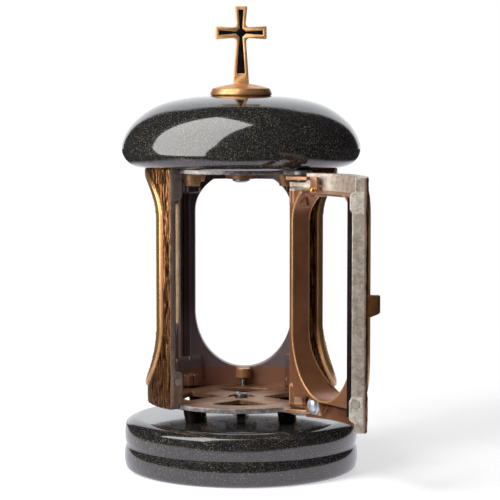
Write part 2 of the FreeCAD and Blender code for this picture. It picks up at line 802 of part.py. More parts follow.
def cap_bolt():
    """Round-headed bolt from under the top plate's hub up into the cap."""
    seat = top_plate_low - plate_hub_height
    head = pan_head(cap_bolt_head_radius, cap_bolt_head_height)
    head.rotate(ORIGIN, V(1, 0, 0), 2 * quarter)
    head.translate(V(0, 0, seat))
    return head.fuse(post(bolt_radius, seat, cap_low + bolt_engagement))


def cross_tenon(spare):
    """Tenon under the cross, or its socket in the disc with some spare room at the sides."""
    half_width, half_thickness = tenon_half_width + spare, tenon_half_thickness + spare
    return block(-half_width, half_width, -half_thickness, half_thickness, disc_top - tenon_depth, disc_top)


def finial_disc():
    """Disc under the cross, domed on top, with a flat for the cross and holes for stud and tenon."""
    edge_round = disc_radius - disc_foot_radius
    edge_z = cap_top + edge_round
    lean = edge_round * math.sqrt(0.5)
    rim_z = cap_top + disc_rim_height
    middle = (disc_top_radius + disc_flat_radius) / 2
    bulge = disc_dome_height * (1 - (middle / disc_top_radius) ** 2)
    outline = [
        line(V(0, 0, cap_top), V(disc_foot_radius, 0, cap_top)),
        arc(V(disc_foot_radius, 0, cap_top), V(disc_foot_radius + lean, 0, edge_z - lean), V(disc_radius, 0, edge_z)),
        line(V(disc_radius, 0, edge_z), V(disc_top_radius, 0, rim_z)),
        arc(V(disc_top_radius, 0, rim_z), V(middle, 0, rim_z + bulge), V(disc_flat_radius, 0, disc_top)),
        line(V(disc_flat_radius, 0, disc_top), V(0, 0, disc_top)),
        line(V(0, 0, disc_top), V(0, 0, cap_top)),
    ]
    shape = spun(outline).cut(post(stud_radius + socket_fit, cap_top - overrun, cap_top + stud_rise))
    return shape.cut(cross_tenon(socket_fit))


def mirrored_outline(right, y):
    """Closed outline from the points of its right half, listed from top to bottom."""
    return [V(x, y, z) for x, z in right] + [V(-x, y, z) for x, z in reversed(right)]


def finial_cross():
    """Flared cross with a tenon below and a recess for its inlay."""
    half = cross_thickness / 2
    right = [
        (cross_top_end, disc_top + cross_height),
        (cross_top_root, cross_centre + cross_arm_root),
        (cross_arm_reach, cross_centre + cross_arm_end),
        (cross_arm_reach, cross_centre - cross_arm_end),
        (cross_stem_root, cross_centre - cross_arm_root),
        (cross_foot, disc_top),
    ]
    shape = prism(mirrored_outline(right, -half), V(0, cross_thickness, 0))

    def inner_corner(edge):
        middle = edge.CenterOfMass
        near = abs(middle.x) < cross_foot and abs(middle.z - cross_centre) < cross_arm_end
        return near and runs_along(edge, V(0, 1, 0))

    def outer_corner(edge):
        middle = edge.CenterOfMass
        far = abs(middle.x) > cross_arm_reach - cross_outer_round or middle.z > cross_centre + 2 * cross_arm_end
        return far and runs_along(edge, V(0, 1, 0))

    shape = rounded(rounded(shape, cross_inner_round, inner_corner), cross_outer_round, outer_corner)
    shape = shape.fuse(cross_tenon(0.0))
    return shape.cut(inlay_shape(inlay_depth + overrun, socket_fit))


def inlay_shape(depth, spare):
    """Inlay outline pushed forwards from the recess floor, widened by some spare room."""
    floor = inlay_depth - cross_thickness / 2
    top = disc_top + cross_height - inlay_end_margin + spare
    reach = cross_arm_reach - inlay_end_margin + spare
    right = [
        (inlay_top_end + spare, top),
        (inlay_top_root + spare, cross_centre + inlay_centre_rise),
        (inlay_centre_reach, cross_centre + inlay_arm_root + spare),
        (reach, cross_centre + inlay_arm_end + spare),
        (reach, cross_centre - inlay_arm_end - spare),
        (inlay_centre_reach, cross_centre - inlay_arm_root - spare),
        (inlay_foot_root + spare, cross_centre - inlay_centre_rise),
        (inlay_foot_end + spare, disc_top + inlay_foot_margin - spare),
    ]
    return prism(mirrored_outline(right, floor), V(0, -depth, 0))


def finial_stud():
    """Stud between the cap and the disc."""
    return post(stud_radius, cap_top - stud_depth, cap_top + stud_rise)


still = {
    "granite_base": granite_base(),
    "base_anchor": base_anchor(),
    "base_bolt": base_bolt(),
    "floor_plate": floor_plate(),
    "right_panel": fixed_panel(1),
    "back_panel": fixed_panel(2),
    "left_panel": fixed_panel(3).cut(magnet(1, thread_fit)),
    "post_magnet": magnet(1, 0.0),
    "lower_panel_screws": lower_panel_screws(),
    "upper_panel_screws": Part.makeCompound([sunk_screw(turn) for turn in fixed_turns]),
    "corner_screws": Part.makeCompound(corner_screw_set(0.0)),
    "lower_hinge_pin": lower_hinge_pin(),
    "upper_hinge_pin": upper_hinge_pin(),
    "top_plate": top_plate(),
    "cap_bolt": cap_bolt(),
    "cap_anchor": cap_anchor(),
    "granite_cap": granite_cap(),
    "finial_stud": finial_stud(),
    "finial_disc": finial_disc(),
    "finial_cross": finial_cross(),
    "cross_inlay": inlay_shape(inlay_thickness, 0.0),
}

swinging = {
    "door_panel": door_panel(),
    "door_knob": door_knob(),
    "door_seal_strip": door_seal_strip(),
    "door_magnet": magnet(-1, 0.0),
    "lower_hinge_bracket": lower_hinge_bracket(),
    "upper_hinge_bracket": upper_hinge_bracket(),
    "lower_bracket_washer": bracket_washer(low_screw_side, low_screw_height, low_tab_half_width,
                                           low_washer_radius, low_washer_thickness),
    "upper_bracket_washer": bracket_washer(high_screw_side, high_screw_height, high_tab_half_width,
                                           high_washer_radius, high_washer_thickness),
    "lower_bracket_screw": bracket_screw(low_screw_side, low_screw_height, low_tab_half_width,
                                         low_washer_thickness, low_screw_head_radius, low_screw_head_height),
    "upper_bracket_screw": bracket_screw(high_screw_side, high_screw_height, high_tab_half_width,
                                         high_washer_thickness, high_screw_head_radius, high_screw_head_height),
}

nodes = dict(still)
for name, shape in swinging.items():
    nodes[name] = turned(shape, door_open_angle, V(hinge_x, hinge_y, 0))

os.makedirs("parts", exist_ok=True)
for name, shape in nodes.items():
    shape.exportStep("parts/" + name + ".step")
    print(name, len(shape.Solids), shape.isValid(), round(shape.Volume, 1))
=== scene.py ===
import json
import logging
import math
from dataclasses import dataclass
from enum import Enum

import bmesh
import bpy
import numpy as np
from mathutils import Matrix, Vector

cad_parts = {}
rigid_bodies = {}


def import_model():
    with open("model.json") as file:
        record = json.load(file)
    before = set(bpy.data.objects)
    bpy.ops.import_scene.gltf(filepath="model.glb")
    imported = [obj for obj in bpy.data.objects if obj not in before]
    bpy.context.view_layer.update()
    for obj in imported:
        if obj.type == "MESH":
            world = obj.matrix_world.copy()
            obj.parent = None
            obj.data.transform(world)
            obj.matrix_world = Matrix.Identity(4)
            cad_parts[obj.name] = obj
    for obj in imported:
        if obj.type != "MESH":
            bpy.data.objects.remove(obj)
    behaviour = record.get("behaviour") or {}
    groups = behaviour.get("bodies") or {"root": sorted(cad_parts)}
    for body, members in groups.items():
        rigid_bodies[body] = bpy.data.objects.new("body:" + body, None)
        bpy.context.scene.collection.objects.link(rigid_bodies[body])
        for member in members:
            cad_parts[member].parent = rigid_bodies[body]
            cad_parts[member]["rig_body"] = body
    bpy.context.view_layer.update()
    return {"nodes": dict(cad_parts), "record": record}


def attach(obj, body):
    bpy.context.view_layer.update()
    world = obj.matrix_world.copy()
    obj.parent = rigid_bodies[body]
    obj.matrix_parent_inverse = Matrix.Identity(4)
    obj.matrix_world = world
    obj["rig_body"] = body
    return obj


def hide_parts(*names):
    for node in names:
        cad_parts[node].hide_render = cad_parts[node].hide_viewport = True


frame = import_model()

LOG = logging.getLogger("lantern")
MM = 0.001
Colour = tuple[float, float, float]
Place = tuple[float, float, float]
Pair = tuple[float, float]
Outline = list[Pair]
Socket = bpy.types.NodeSocket
Feed = Socket | float | str | tuple


class Body(Enum):
    """The two parts of the lantern that move against each other."""

    LANTERN = "lantern"
    DOOR = "door"


class Side(Enum):
    """The four panels of the body, by the quarter turns from the front at which each is fitted."""

    DOOR = 0
    RIGHT = 1
    BACK = 2
    LEFT = 3


def srgb(red: float, green: float, blue: float) -> Colour:
    """Turns a colour of 0 to 255 as seen on a screen into scene values."""
    return tuple(
        (v / 255 / 12.92) if v <= 10 else ((v / 255 + 0.055) / 1.055) ** 2.4 for v in (red, green, blue)
    )


class Sheet:
    """The nodes of one material, world or geometry tree, added and joined in one step."""

    def __init__(self, tree: bpy.types.NodeTree) -> None:
        """Starts on a tree."""
        self.tree = tree

    def add(self, kind: str, values: dict[str | int, Feed] | None = None,
            **settings: object) -> bpy.types.Node:
        """Adds a node.

        Args:
            kind: the node's type name.
            values: input name or number to a value, or to the output socket that feeds it.
            settings: properties of the node itself.

        Returns:
            The new node.
        """
        made = self.tree.nodes.new(kind)
        for name, value in settings.items():
            setattr(made, name, value)
        for name, value in (values or {}).items():
            socket = made.inputs[name]
            if isinstance(value, Socket):
                self.tree.links.new(value, socket)
            elif isinstance(value, tuple) and len(value) == 3 and len(socket.default_value) == 4:
                socket.default_value = (*value, 1.0)
            else:
                socket.default_value = value
        return made

    def feed(self, node: bpy.types.Node, name: str, source: Socket) -> None:
        """Joins a result to a node's named input."""
        self.tree.links.new(source, node.inputs[name])

    def sum(self, operation: str, *values: Feed, clamp: bool = False) -> Socket:
        """Adds one step of arithmetic.

        Args:
            operation: the Math node's operation.
            values: its inputs in order, numbers or sockets.
            clamp: whether the result is held between 0 and 1.

        Returns:
            The result's socket.
        """
        made = self.add("ShaderNodeMath", dict(enumerate(values)), operation=operation, use_clamp=clamp)
        return made.outputs[0]

    def plus(self, first: Feed, second: Feed) -> Socket:
        """One value and another."""
        return self.sum("ADD", first, second)

    def times(self, first: Feed, second: Feed, clamp: bool = False) -> Socket:
        """One value times another, held between 0 and 1 if clamp is set."""
        return self.sum("MULTIPLY", first, second, clamp=clamp)

    def line(self, value: Feed, slope: float, start: float) -> Socket:
        """A value times a slope, and a start."""
        return self.plus(self.times(value, slope), start)

    def swing(self, value: Feed, slope: Feed, middle: float = 0.5) -> Socket:
        """A value less its middle, times a slope."""
        return self.times(self.sum("SUBTRACT", value, middle), slope)

    def vector(self, operation: str, first: Feed, second: Feed) -> Socket:
        """One step of arithmetic on two vectors."""
        return self.add("ShaderNodeVectorMath", {0: first, 1: second}, operation=operation).outputs[0]

    def between(self, value: Feed, low: float, high: float) -> Socket:
        """Smooth step of a value from 0 at low to 1 at high."""
        made = self.add("ShaderNodeMapRange", {0: value, 1: low, 2: high, 3: 0.0, 4: 1.0},
                        interpolation_type="SMOOTHSTEP")
        return made.outputs[0]

    def blend(self, share: Feed, first: Feed, second: Feed) -> Socket:
        """Mixes two colours by a share of the second."""
        return self.add("ShaderNodeMix", {0: share, 6: first, 7: second}, data_type="RGBA").outputs[2]

    def noise(self, place: Socket, scale: float, detail: float = 3.0, rough: float = 0.5) -> Socket:
        """Noise from 0 to 1 at a place, with its scale in waves per metre."""
        return self.add("ShaderNodeTexNoise", {"Vector": place, "Scale": scale, "Detail": detail,
                                               "Roughness": rough}).outputs[0]

    def cells(self, place: Socket, scale: float) -> bpy.types.Node:
        """Random cells at a place, with a colour for each."""
        return self.add("ShaderNodeTexVoronoi", {"Vector": place, "Scale": scale})

    def parts(self, source: Socket, kind: str = "XYZ") -> bpy.types.bpy_prop_collection:
        """The three parts of a place, or of a colour where the kind is Color."""
        return self.add("ShaderNodeSeparate" + kind, {0: source}).outputs

    def stretched(self, place: Socket, across: float, along: float) -> Socket:
        """Place with its sideways and upright parts scaled apart."""
        return self.add("ShaderNodeMapping", {"Vector": place, "Scale": (across, across, along)}).outputs[0]

    def bump(self, height: Socket, strength: float, depth: float) -> Socket:
        """Normal raised by a height, with its depth in metres."""
        made = self.add("ShaderNodeBump", {"Height": height, "Strength": strength, "Distance": depth})
        return made.outputs[0]


@dataclass(frozen=True)
class Finish:
    """A finish with the steps that every material shares."""

    name: str

    def begin(self) -> tuple[bpy.types.Material, Sheet, bpy.types.Node, Socket]:
        """Starts the material.

        Returns:
            The material, its sheet of nodes, its shader and the place on the object.
        """
        made = bpy.data.materials.new(self.name)
        made.use_nodes = True
        sheet = Sheet(made.node_tree)
        shader = made.node_tree.nodes["Principled BSDF"]
        place = sheet.add("ShaderNodeTexCoord").outputs["Object"]
        return made, sheet, shader, place


@dataclass(frozen=True)
class PolishedGranite(Finish):
    """Black granite with fine pale, green and gold flecks under a mirror polish."""

    name: str = "polished_black_granite"
    ground: Colour = srgb(21, 18, 23)
    green: Colour = srgb(64, 64, 59)
    pale: Colour = srgb(174, 167, 150)
    gold: Colour = srgb(182, 150, 92)
    fleck: float = 0.42 * MM
    cloud: float = 60.0
    pale_cells: Pair = (0.86, 1.0)
    gold_cells: Pair = (0.965, 0.985)
    dull_cells: Pair = (0.35, 0.95)
    pitted_cells: Pair = (0.85, 1.0)
    pale_share: float = 0.48
    gold_share: float = 0.7
    dullness: float = 0.1
    polish: float = 0.045
    index: float = 1.85
    pit: float = 0.05 * MM

    def make(self) -> bpy.types.Material:
        """Builds the material.

        Returns:
            The material.
        """
        made, sheet, shader, place = self.begin()
        fine = sheet.parts(sheet.cells(place, 1 / self.fleck).outputs["Color"], "Color")
        large = sheet.cells(place, 0.5 / self.fleck).outputs
        choice = sheet.parts(large["Color"], "Color")[0]
        cloud = sheet.between(sheet.noise(place, self.cloud, 4.0, 0.6), 0.3, 0.75)
        colour = sheet.blend(sheet.sum("POWER", fine[0], 2.0), self.ground, self.green)
        bright = sheet.times(sheet.between(fine[1], *self.pale_cells), sheet.plus(cloud, 0.3))
        colour = sheet.blend(sheet.times(bright, self.pale_share, clamp=True), colour, self.pale)
        heart = sheet.between(large["Distance"], 0.42, 0.2)
        golden = sheet.times(sheet.between(choice, *self.gold_cells), heart)
        colour = sheet.blend(sheet.times(golden, self.gold_share), colour, self.gold)
        sheet.feed(shader, "Base Color", colour)
        dull = sheet.between(fine[2], *self.dull_cells)
        sheet.feed(shader, "Roughness", sheet.line(dull, self.dullness, self.polish))
        shader.inputs["IOR"].default_value = self.index
        pits = sheet.between(fine[2], *self.pitted_cells)
        sheet.feed(shader, "Normal", sheet.bump(pits, 0.15, self.pit))
        return made


@dataclass(frozen=True)
class CastBronze(Finish):
    """Brown patinated bronze, gold where hands and files have worn it, with cut faces left bright; its gold
    and bright colours are also painted as highlights on the jambs and lugs, and its grey and near black as
    shade inside the fixed panels.
    """

    name: str = "cast_bronze"
    hollow: Colour = srgb(42, 26, 17)
    brown: Colour = srgb(158, 106, 74)
    shade: Colour = srgb(128, 84, 58)
    # The next two colours are painted shade for the inner faces of the fixed panels: a grey, and a near
    # black that they reach towards the top.
    inner_shade_grey: Colour = srgb(118, 106, 110)
    black: Colour = srgb(64, 56, 62)
    ridge: Colour = srgb(140, 92, 52)
    crest: Colour = srgb(232, 186, 126)
    # The lip colour marks worn lips, and is also painted as highlights on the lugs and the window jambs; the
    # cut colour is also painted as the jambs' highlight.
    lip: Colour = srgb(228, 178, 116)
    cut: Colour = srgb(222, 217, 206)
    stain: Colour = srgb(158, 144, 128)
    broad: float = 38.0
    mottle: float = 260.0
    fine: float = 1400.0
    streak: Pair = (900.0, 60.0)
    painted_top_shade: Pair = (76 * MM, 108 * MM)
    smooth: float = 0.22
    cut_rough: float = 0.12
    metallic: float = 0.85
    matt_loss: float = 0.4
    depth: float = 0.1 * MM

    def make(self) -> bpy.types.Material:
        """Builds the material, which reads the attributes that CastPanels stores on a panel.

        Returns:
            The material.
        """
        made, sheet, shader, place = self.begin()
        relief, bark, cut, lip, soot, matt = (
            sheet.add("ShaderNodeAttribute", attribute_name=name).outputs["Fac"]
            for name in ("relief", "bark", "cut", "lip", "soot", "matt"))
        broad = sheet.noise(place, self.broad, 5.0, 0.6)
        fine = sheet.noise(place, self.fine, 4.0, 0.65)
        streak = sheet.noise(sheet.stretched(place, *self.streak), 1.0, 4.0, 0.6)
        smooth = sheet.blend(sheet.between(broad, 0.25, 0.75), self.shade, self.brown)
        # Painted shade: the inner faces of the fixed panels turn from grey to near black towards the top.
        painted_top_shade = sheet.blend(sheet.between(sheet.parts(place)[2], *self.painted_top_shade), self.inner_shade_grey, self.black)
        smooth = sheet.blend(soot, smooth, painted_top_shade)
        spread = sheet.plus(relief, sheet.swing(streak, 0.7))
        grooved = sheet.blend(sheet.between(spread, 0.2, 0.75), self.hollow, self.ridge)
        spark = sheet.between(sheet.plus(spread, sheet.swing(fine, 0.9)), 0.86, 1.12)
        grooved = sheet.blend(spark, grooved, self.crest)
        colour = sheet.blend(bark, smooth, grooved)
        # Worn lips, and the highlights painted on the jambs and lugs, take the gold lip colour.
        worn = sheet.times(lip, sheet.line(broad, 0.5, 0.5), clamp=True)
        colour = sheet.blend(worn, colour, self.lip)
        patch = sheet.noise(place, self.mottle, 5.0, 0.7)
        mottle = sheet.plus(sheet.times(patch, 0.75), sheet.times(fine, 0.35))
        bright = sheet.blend(sheet.between(mottle, 0.36, 0.72), self.stain, self.cut)
        colour = sheet.blend(cut, colour, bright)
        sheet.feed(shader, "Base Color", colour)
        rough = sheet.plus(sheet.line(fine, 0.2, self.smooth), sheet.times(cut, self.cut_rough))
        sheet.feed(shader, "Roughness", rough)
        sheet.feed(shader, "Metallic", sheet.line(matt, -self.matt_loss, self.metallic))
        grain = sheet.plus(sheet.times(fine, 0.45), sheet.times(streak, sheet.times(bark, 1.3)))
        sheet.feed(shader, "Normal", sheet.bump(grain, 0.35, self.depth))
        return made


@dataclass(frozen=True)
class WornMetal(Finish):
    """Plain metal piece with a second, duller colour where it is stained, and brighter edges."""

    light: Colour = srgb(200, 150, 100)
    stain: Colour = srgb(110, 75, 48)
    metallic: float = 0.9
    smooth: float = 0.3
    grain: float = 700.0
    blotch: float = 55.0
    depth: float = 0.05 * MM
    edge: Colour = srgb(225, 190, 140)
    edge_radius: float = 0.35 * MM
    edge_share: float = 0.7

    def make(self) -> bpy.types.Material:
        """Builds the material.

        Returns:
            The material.
        """
        made, sheet, shader, place = self.begin()
        fine = sheet.noise(place, self.grain, 4.0, 0.6)
        broad = sheet.noise(place, self.blotch, 5.0, 0.65)
        share = sheet.between(sheet.plus(sheet.times(broad, 0.8), sheet.times(fine, 0.25)), 0.35, 0.72)
        colour = sheet.blend(share, self.stain, self.light)
        soft = sheet.add("ShaderNodeBevel", {"Radius": self.edge_radius}, samples=4).outputs[0]
        true = sheet.add("ShaderNodeNewGeometry").outputs["True Normal"]
        turn = sheet.add("ShaderNodeVectorMath", {0: soft, 1: true}, operation="DOT_PRODUCT").outputs[1]
        edge = sheet.times(sheet.between(turn, 0.97, 0.8), self.edge_share)
        sheet.feed(shader, "Base Color", sheet.blend(edge, colour, self.edge))
        rough = sheet.line(fine, 0.2, self.smooth)
        sheet.feed(shader, "Roughness", sheet.sum("SUBTRACT", rough, sheet.times(share, 0.08)))
        shader.inputs["Metallic"].default_value = self.metallic
        raised = sheet.bump(fine, 0.3, self.depth)
        sheet.feed(raised.node, "Normal", soft)
        sheet.feed(shader, "Normal", raised)
        return made


@dataclass(frozen=True)
class PlateBronze(WornMetal):
    """Bronze of the two plates: a pale filed rim round each, and shade painted dark on the feet under the
    lower one.
    """

    rim: Colour = srgb(186, 184, 182)
    rim_stain: Colour = srgb(128, 124, 122)
    shaded_feet: Colour = srgb(44, 33, 28)
    radius: float = 52.4 * MM
    underside: float = 42.6 * MM
    fade: Pair = (0.5 * MM, 0.3 * MM)

    def make(self) -> bpy.types.Material:
        """Builds the material.

        Returns:
            The material.
        """
        made = super().make()
        sheet = Sheet(made.node_tree)
        shader = made.node_tree.nodes["Principled BSDF"]
        place = sheet.add("ShaderNodeTexCoord").outputs["Object"]
        across, deep, height = sheet.parts(place)
        away = sheet.plus(sheet.sum("POWER", across, 2.0), sheet.sum("POWER", deep, 2.0))
        away = sheet.sum("SQRT", away)
        mottle = sheet.between(sheet.noise(place, 300.0, 5.0, 0.65), 0.36, 0.7)
        filed = sheet.blend(mottle, self.rim_stain, self.rim)
        start, end = self.fade
        colour = shader.inputs["Base Color"].links[0].from_socket
        colour = sheet.blend(sheet.between(away, self.radius - start, self.radius - end), colour, filed)
        # Painted shade: the feet under the lower plate are coloured dark.
        low = sheet.between(height, self.underside + start, self.underside + end)
        sheet.feed(shader, "Base Color", sheet.blend(low, colour, self.shaded_feet))
        return made


@dataclass(frozen=True)
class Rubber(Finish):
    """Dark seal rubber, dusty in places."""

    name: str = "seal_rubber"
    black: Colour = srgb(24, 18, 20)
    dust: Colour = srgb(46, 38, 38)
    smooth: float = 0.5
    shine: float = 0.3
    depth: float = 0.05 * MM

    def make(self) -> bpy.types.Material:
        """Builds the material.

        Returns:
            The material.
        """
        made, sheet, shader, place = self.begin()
        dust = sheet.between(sheet.noise(place, 90.0, 5.0, 0.65), 0.45, 0.8)
        sheet.feed(shader, "Base Color", sheet.blend(dust, self.black, self.dust))
        sheet.feed(shader, "Roughness", sheet.line(dust, 0.2, self.smooth))
        grain = sheet.noise(place, 1500.0, 3.0, 0.6)
        sheet.feed(shader, "Normal", sheet.bump(grain, 0.3, self.depth))
        shader.inputs["Specular IOR Level"].default_value = self.shine
        return made


@dataclass(frozen=True)
class GlossInlay(Finish):
    """Glossy black stone-like inlay of the cross."""

    name: str = "black_inlay"
    black: Colour = srgb(12, 12, 14)
    grey: Colour = srgb(34, 33, 35)
    smooth: float = 0.06
    depth: float = 0.05 * MM

    def make(self) -> bpy.types.Material:
        """Builds the material.

        Returns:
            The material.
        """
        made, sheet, shader, place = self.begin()
        cloud = sheet.noise(place, 260.0, 4.0, 0.6)
        sheet.feed(shader, "Base Color", sheet.blend(sheet.between(cloud, 0.4, 0.8), self.black, self.grey))
        sheet.feed(shader, "Roughness", sheet.line(cloud, 0.12, self.smooth))
        sheet.feed(shader, "Normal", sheet.bump(cloud, 0.12, self.depth))
        return made


def dress(thing: bpy.types.Object, material: bpy.types.Material) -> None:
    """Gives every slot of an object one material.

    Args:
        thing: the object.
        material: the material for all of it.
    """
    if not thing.data.materials:
        thing.data.materials.append(material)
    for slot in thing.material_slots:
        slot.material = material


def placed(name: str, data: bpy.types.ID) -> bpy.types.Object:
    """Puts a mesh, a lamp or a camera in the scene at the origin.

    Args:
        name: the object's name.
        data: what it shows, already in place where it is a mesh.

    Returns:
        The object.
    """
    thing = bpy.data.objects.new(name, data)
    bpy.context.scene.collection.objects.link(thing)
    return thing


def merged_copy(node: str, flat: float = 0.0) -> bpy.types.Mesh:
    """Copies a CAD node's mesh with its loose triangles joined.

    Args:
        node: the node's name.
        flat: angle in radians below which neighbouring triangles become one face, or 0.

    Returns:
        The joined mesh, without materials.
    """
    mesh = bpy.data.meshes.new(node + "_joined")
    shape = bmesh.new()
    shape.from_mesh(frame["nodes"][node].data)
    bmesh.ops.remove_doubles(shape, verts=shape.verts, dist=2e-6)
    if flat:
        bmesh.ops.dissolve_limit(shape, angle_limit=flat, verts=shape.verts, edges=shape.edges)
    shape.to_mesh(mesh)
    shape.free()
    mesh.materials.clear()
    for name in [a.name for a in mesh.attributes if a.name in ("custom_normal", "sharp_face", "sharp_edge")]:
        mesh.attributes.remove(mesh.attributes[name])
    return mesh


def settled(thing: bpy.types.Object) -> None:
    """Turns an object with modifiers into one with a plain mesh and no modifiers.

    Args:
        thing: the object.
    """
    bpy.context.view_layer.update()
    graph = bpy.context.evaluated_depsgraph_get()
    mesh = bpy.data.meshes.new_from_object(
        thing.evaluated_get(graph), preserve_all_data_layers=True, depsgraph=graph)
    thing.modifiers.clear()
    thing.data = mesh


def smoothed(mesh: bpy.types.Mesh, sharp: float) -> None:
    """Shades a mesh smooth but for edges over an angle in degrees."""
    mesh.shade_smooth()
    mesh.set_sharp_from_angle(angle=math.radians(sharp))


def turned_profile(name: str, profile: Outline, steps: int) -> bpy.types.Mesh:
    """Makes a closed round mesh from a profile that starts and ends on the axis.

    Args:
        name: the mesh's name.
        profile: radius and height of each point, in metres, in an order that keeps the outside on the
            right.
        steps: how many faces go round.

    Returns:
        The mesh, faces outwards.
    """
    points, faces, rings = [], [], []
    for radius, height in profile:
        if radius < 1e-7:
            rings.append([len(points)])
            points.append((0.0, 0.0, height))
            continue
        rings.append(list(range(len(points), len(points) + steps)))
        points += [(radius * math.cos(a), radius * math.sin(a), height)
                   for a in (math.tau * i / steps for i in range(steps))]
    for low, high in zip(rings, rings[1:]):
        for i in range(steps):
            j = (i + 1) % steps
            if len(low) == 1:
                faces.append((low[0], high[j], high[i]))
            elif len(high) == 1:
                faces.append((low[i], low[j], high[0]))
            else:
                faces.append((low[i], low[j], high[j], high[i]))
    mesh = bpy.data.meshes.new(name)
    mesh.from_pydata(points, [], faces)
    mesh.validate()
    return mesh


def through_three(a: Pair, b: Pair, c: Pair, count: int) -> Outline:
    """Points of the round arc through three points, without its last.

    Args:
        a: the arc's start.
        b: a point on it.
        c: its end.
        count: how many points.

    Returns:
        The points in order.
    """
    (ax, ay), (bx, by), (cx, cy) = a, b, c
    d = 2 * (ax * (by - cy) + bx * (cy - ay) + cx * (ay - by))
    ux = ((ax**2 + ay**2) * (by - cy) + (bx**2 + by**2) * (cy - ay) + (cx**2 + cy**2) * (ay - by)) / d
    uy = ((ax**2 + ay**2) * (cx - bx) + (bx**2 + by**2) * (ax - cx) + (cx**2 + cy**2) * (bx - ax)) / d
    radius = math.hypot(ax - ux, ay - uy)
    first, middle, last = (math.atan2(y - uy, x - ux) for x, y in (a, b, c))
    half = math.remainder(middle - first, math.tau)
    span = half + math.remainder(last - middle, math.tau)
    return [(ux + radius * math.cos(first + span * i / count),
             uy + radius * math.sin(first + span * i / count)) for i in range(count)]


def spline_through(points: Outline, start: Pair, end: Pair, count: int) -> Outline:
    """Points of a smooth curve through given points with set directions at its ends.

    Args:
        points: the points to pass through.
        start: the direction at the first, as a unit vector.
        end: the direction at the last, as a unit vector.
        count: how many points in each span.

    Returns:
        The points in order, with the last.
    """
    given = np.array(points)
    gaps = np.linalg.norm(np.diff(given, axis=0), axis=1)
    size = len(given)
    system, right = np.eye(size), np.zeros((size, 2))
    right[0], right[-1] = start, end
    for i in range(1, size - 1):
        before, after = gaps[i - 1], gaps[i]
        system[i, i - 1:i + 2] = after, 2 * (before + after), before
        rise = after * (given[i] - given[i - 1]) / before + before * (given[i + 1] - given[i]) / after
        right[i] = 3 * rise
    slopes = np.linalg.solve(system, right)
    out = []
    for i in range(size - 1):
        for t in np.arange(count) / count:
            h = gaps[i]
            out.append(tuple((2 * t**3 - 3 * t**2 + 1) * given[i] + (t**3 - 2 * t**2 + t) * h * slopes[i]
                             + (3 * t**2 - 2 * t**3) * given[i + 1] + (t**3 - t**2) * h * slopes[i + 1]))
    return out + [tuple(given[-1])]


@dataclass
class GraniteStones:
    """The polished base and cap, turned finer than the CAD surface so that the polish reflects cleanly."""

    base_radius: float = 75.0 * MM
    base_height: float = 33.5 * MM
    base_radii: tuple[float, ...] = (0.933, 0.9645, 0.990, 1.0, 0.984, 0.996, 0.985, 0.938, 0.868)
    base_heights: tuple[float, ...] = (0.0, 0.020, 0.080, 0.240, 0.500, 0.720, 0.894, 0.966, 1.0)
    cap_low: float = 193.9 * MM
    cap_radius: float = 76.0 * MM
    edge_height: float = 12.0 * MM
    dome_height: float = 32.7 * MM
    dome_radii: tuple[float, ...] = (1.0, 0.989, 0.926, 0.828, 0.688, 0.549, 0.247)
    dome_heights: tuple[float, ...] = (0.0, 0.128, 0.401, 0.624, 0.819, 0.920, 1.0)
    bore_radius: float = 5.53 * MM
    bore_depth: float = 18.0 * MM
    steps: int = 256
    curve_steps: int = 12
    edge_steps: int = 14
    sharp: float = 40.0

    def base_profile(self) -> Outline:
        """Draws the base from the middle of its foot to the middle of its bore.

        Returns:
            Radius and height of each point.
        """
        points = [(self.base_radius * r, self.base_height * h)
                  for r, h in zip(self.base_radii, self.base_heights)]
        line = [(0.0, 0.0), (points[0][0] * 0.5, 0.0)]
        for i in range(0, len(points) - 2, 2):
            line += through_three(*points[i:i + 3], self.curve_steps)
        floor = self.base_height - self.bore_depth
        return line + [points[-1], (self.base_radius * 0.6, self.base_height),
                       (self.bore_radius, self.base_height), (self.bore_radius, floor), (0.0, floor)]

    def cap_profile(self) -> Outline:
        """Draws the cap from the middle of its bore over the rim to the middle of its crown.

        Returns:
            Radius and height of each point.
        """
        edge = self.cap_low + self.edge_height
        flat, lean = self.cap_radius - self.edge_height, self.edge_height * math.sqrt(0.5)
        dome = [(self.cap_radius * r, edge + self.dome_height * h)
                for r, h in zip(self.dome_radii, self.dome_heights)]
        roof = self.cap_low + self.bore_depth
        line = [(0.0, roof), (self.bore_radius, roof), (self.bore_radius, self.cap_low),
                (flat * 0.5, self.cap_low)]
        line += through_three((flat, self.cap_low), (flat + lean, edge - lean), dome[0], self.edge_steps)
        line += spline_through(dome, (0.0, 1.0), (-1.0, 0.0), self.curve_steps)
        crown = dome[-1]
        return line + [(crown[0] * 0.5, crown[1]), (0.0, crown[1])]

    def build(self, granite: bpy.types.Material) -> None:
        """Makes both stones.

        Args:
            granite: their material.
        """
        for name, profile in (("granite_base", self.base_profile()), ("granite_cap", self.cap_profile())):
            stone = placed(name + "_polished", turned_profile(name + "_polished", profile, self.steps))
            smoothed(stone.data, self.sharp)
            dress(stone, granite)
            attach(stone, Body.LANTERN.value)
            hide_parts(name)
            LOG.info("%s: %d faces", stone.name, len(stone.data.polygons))


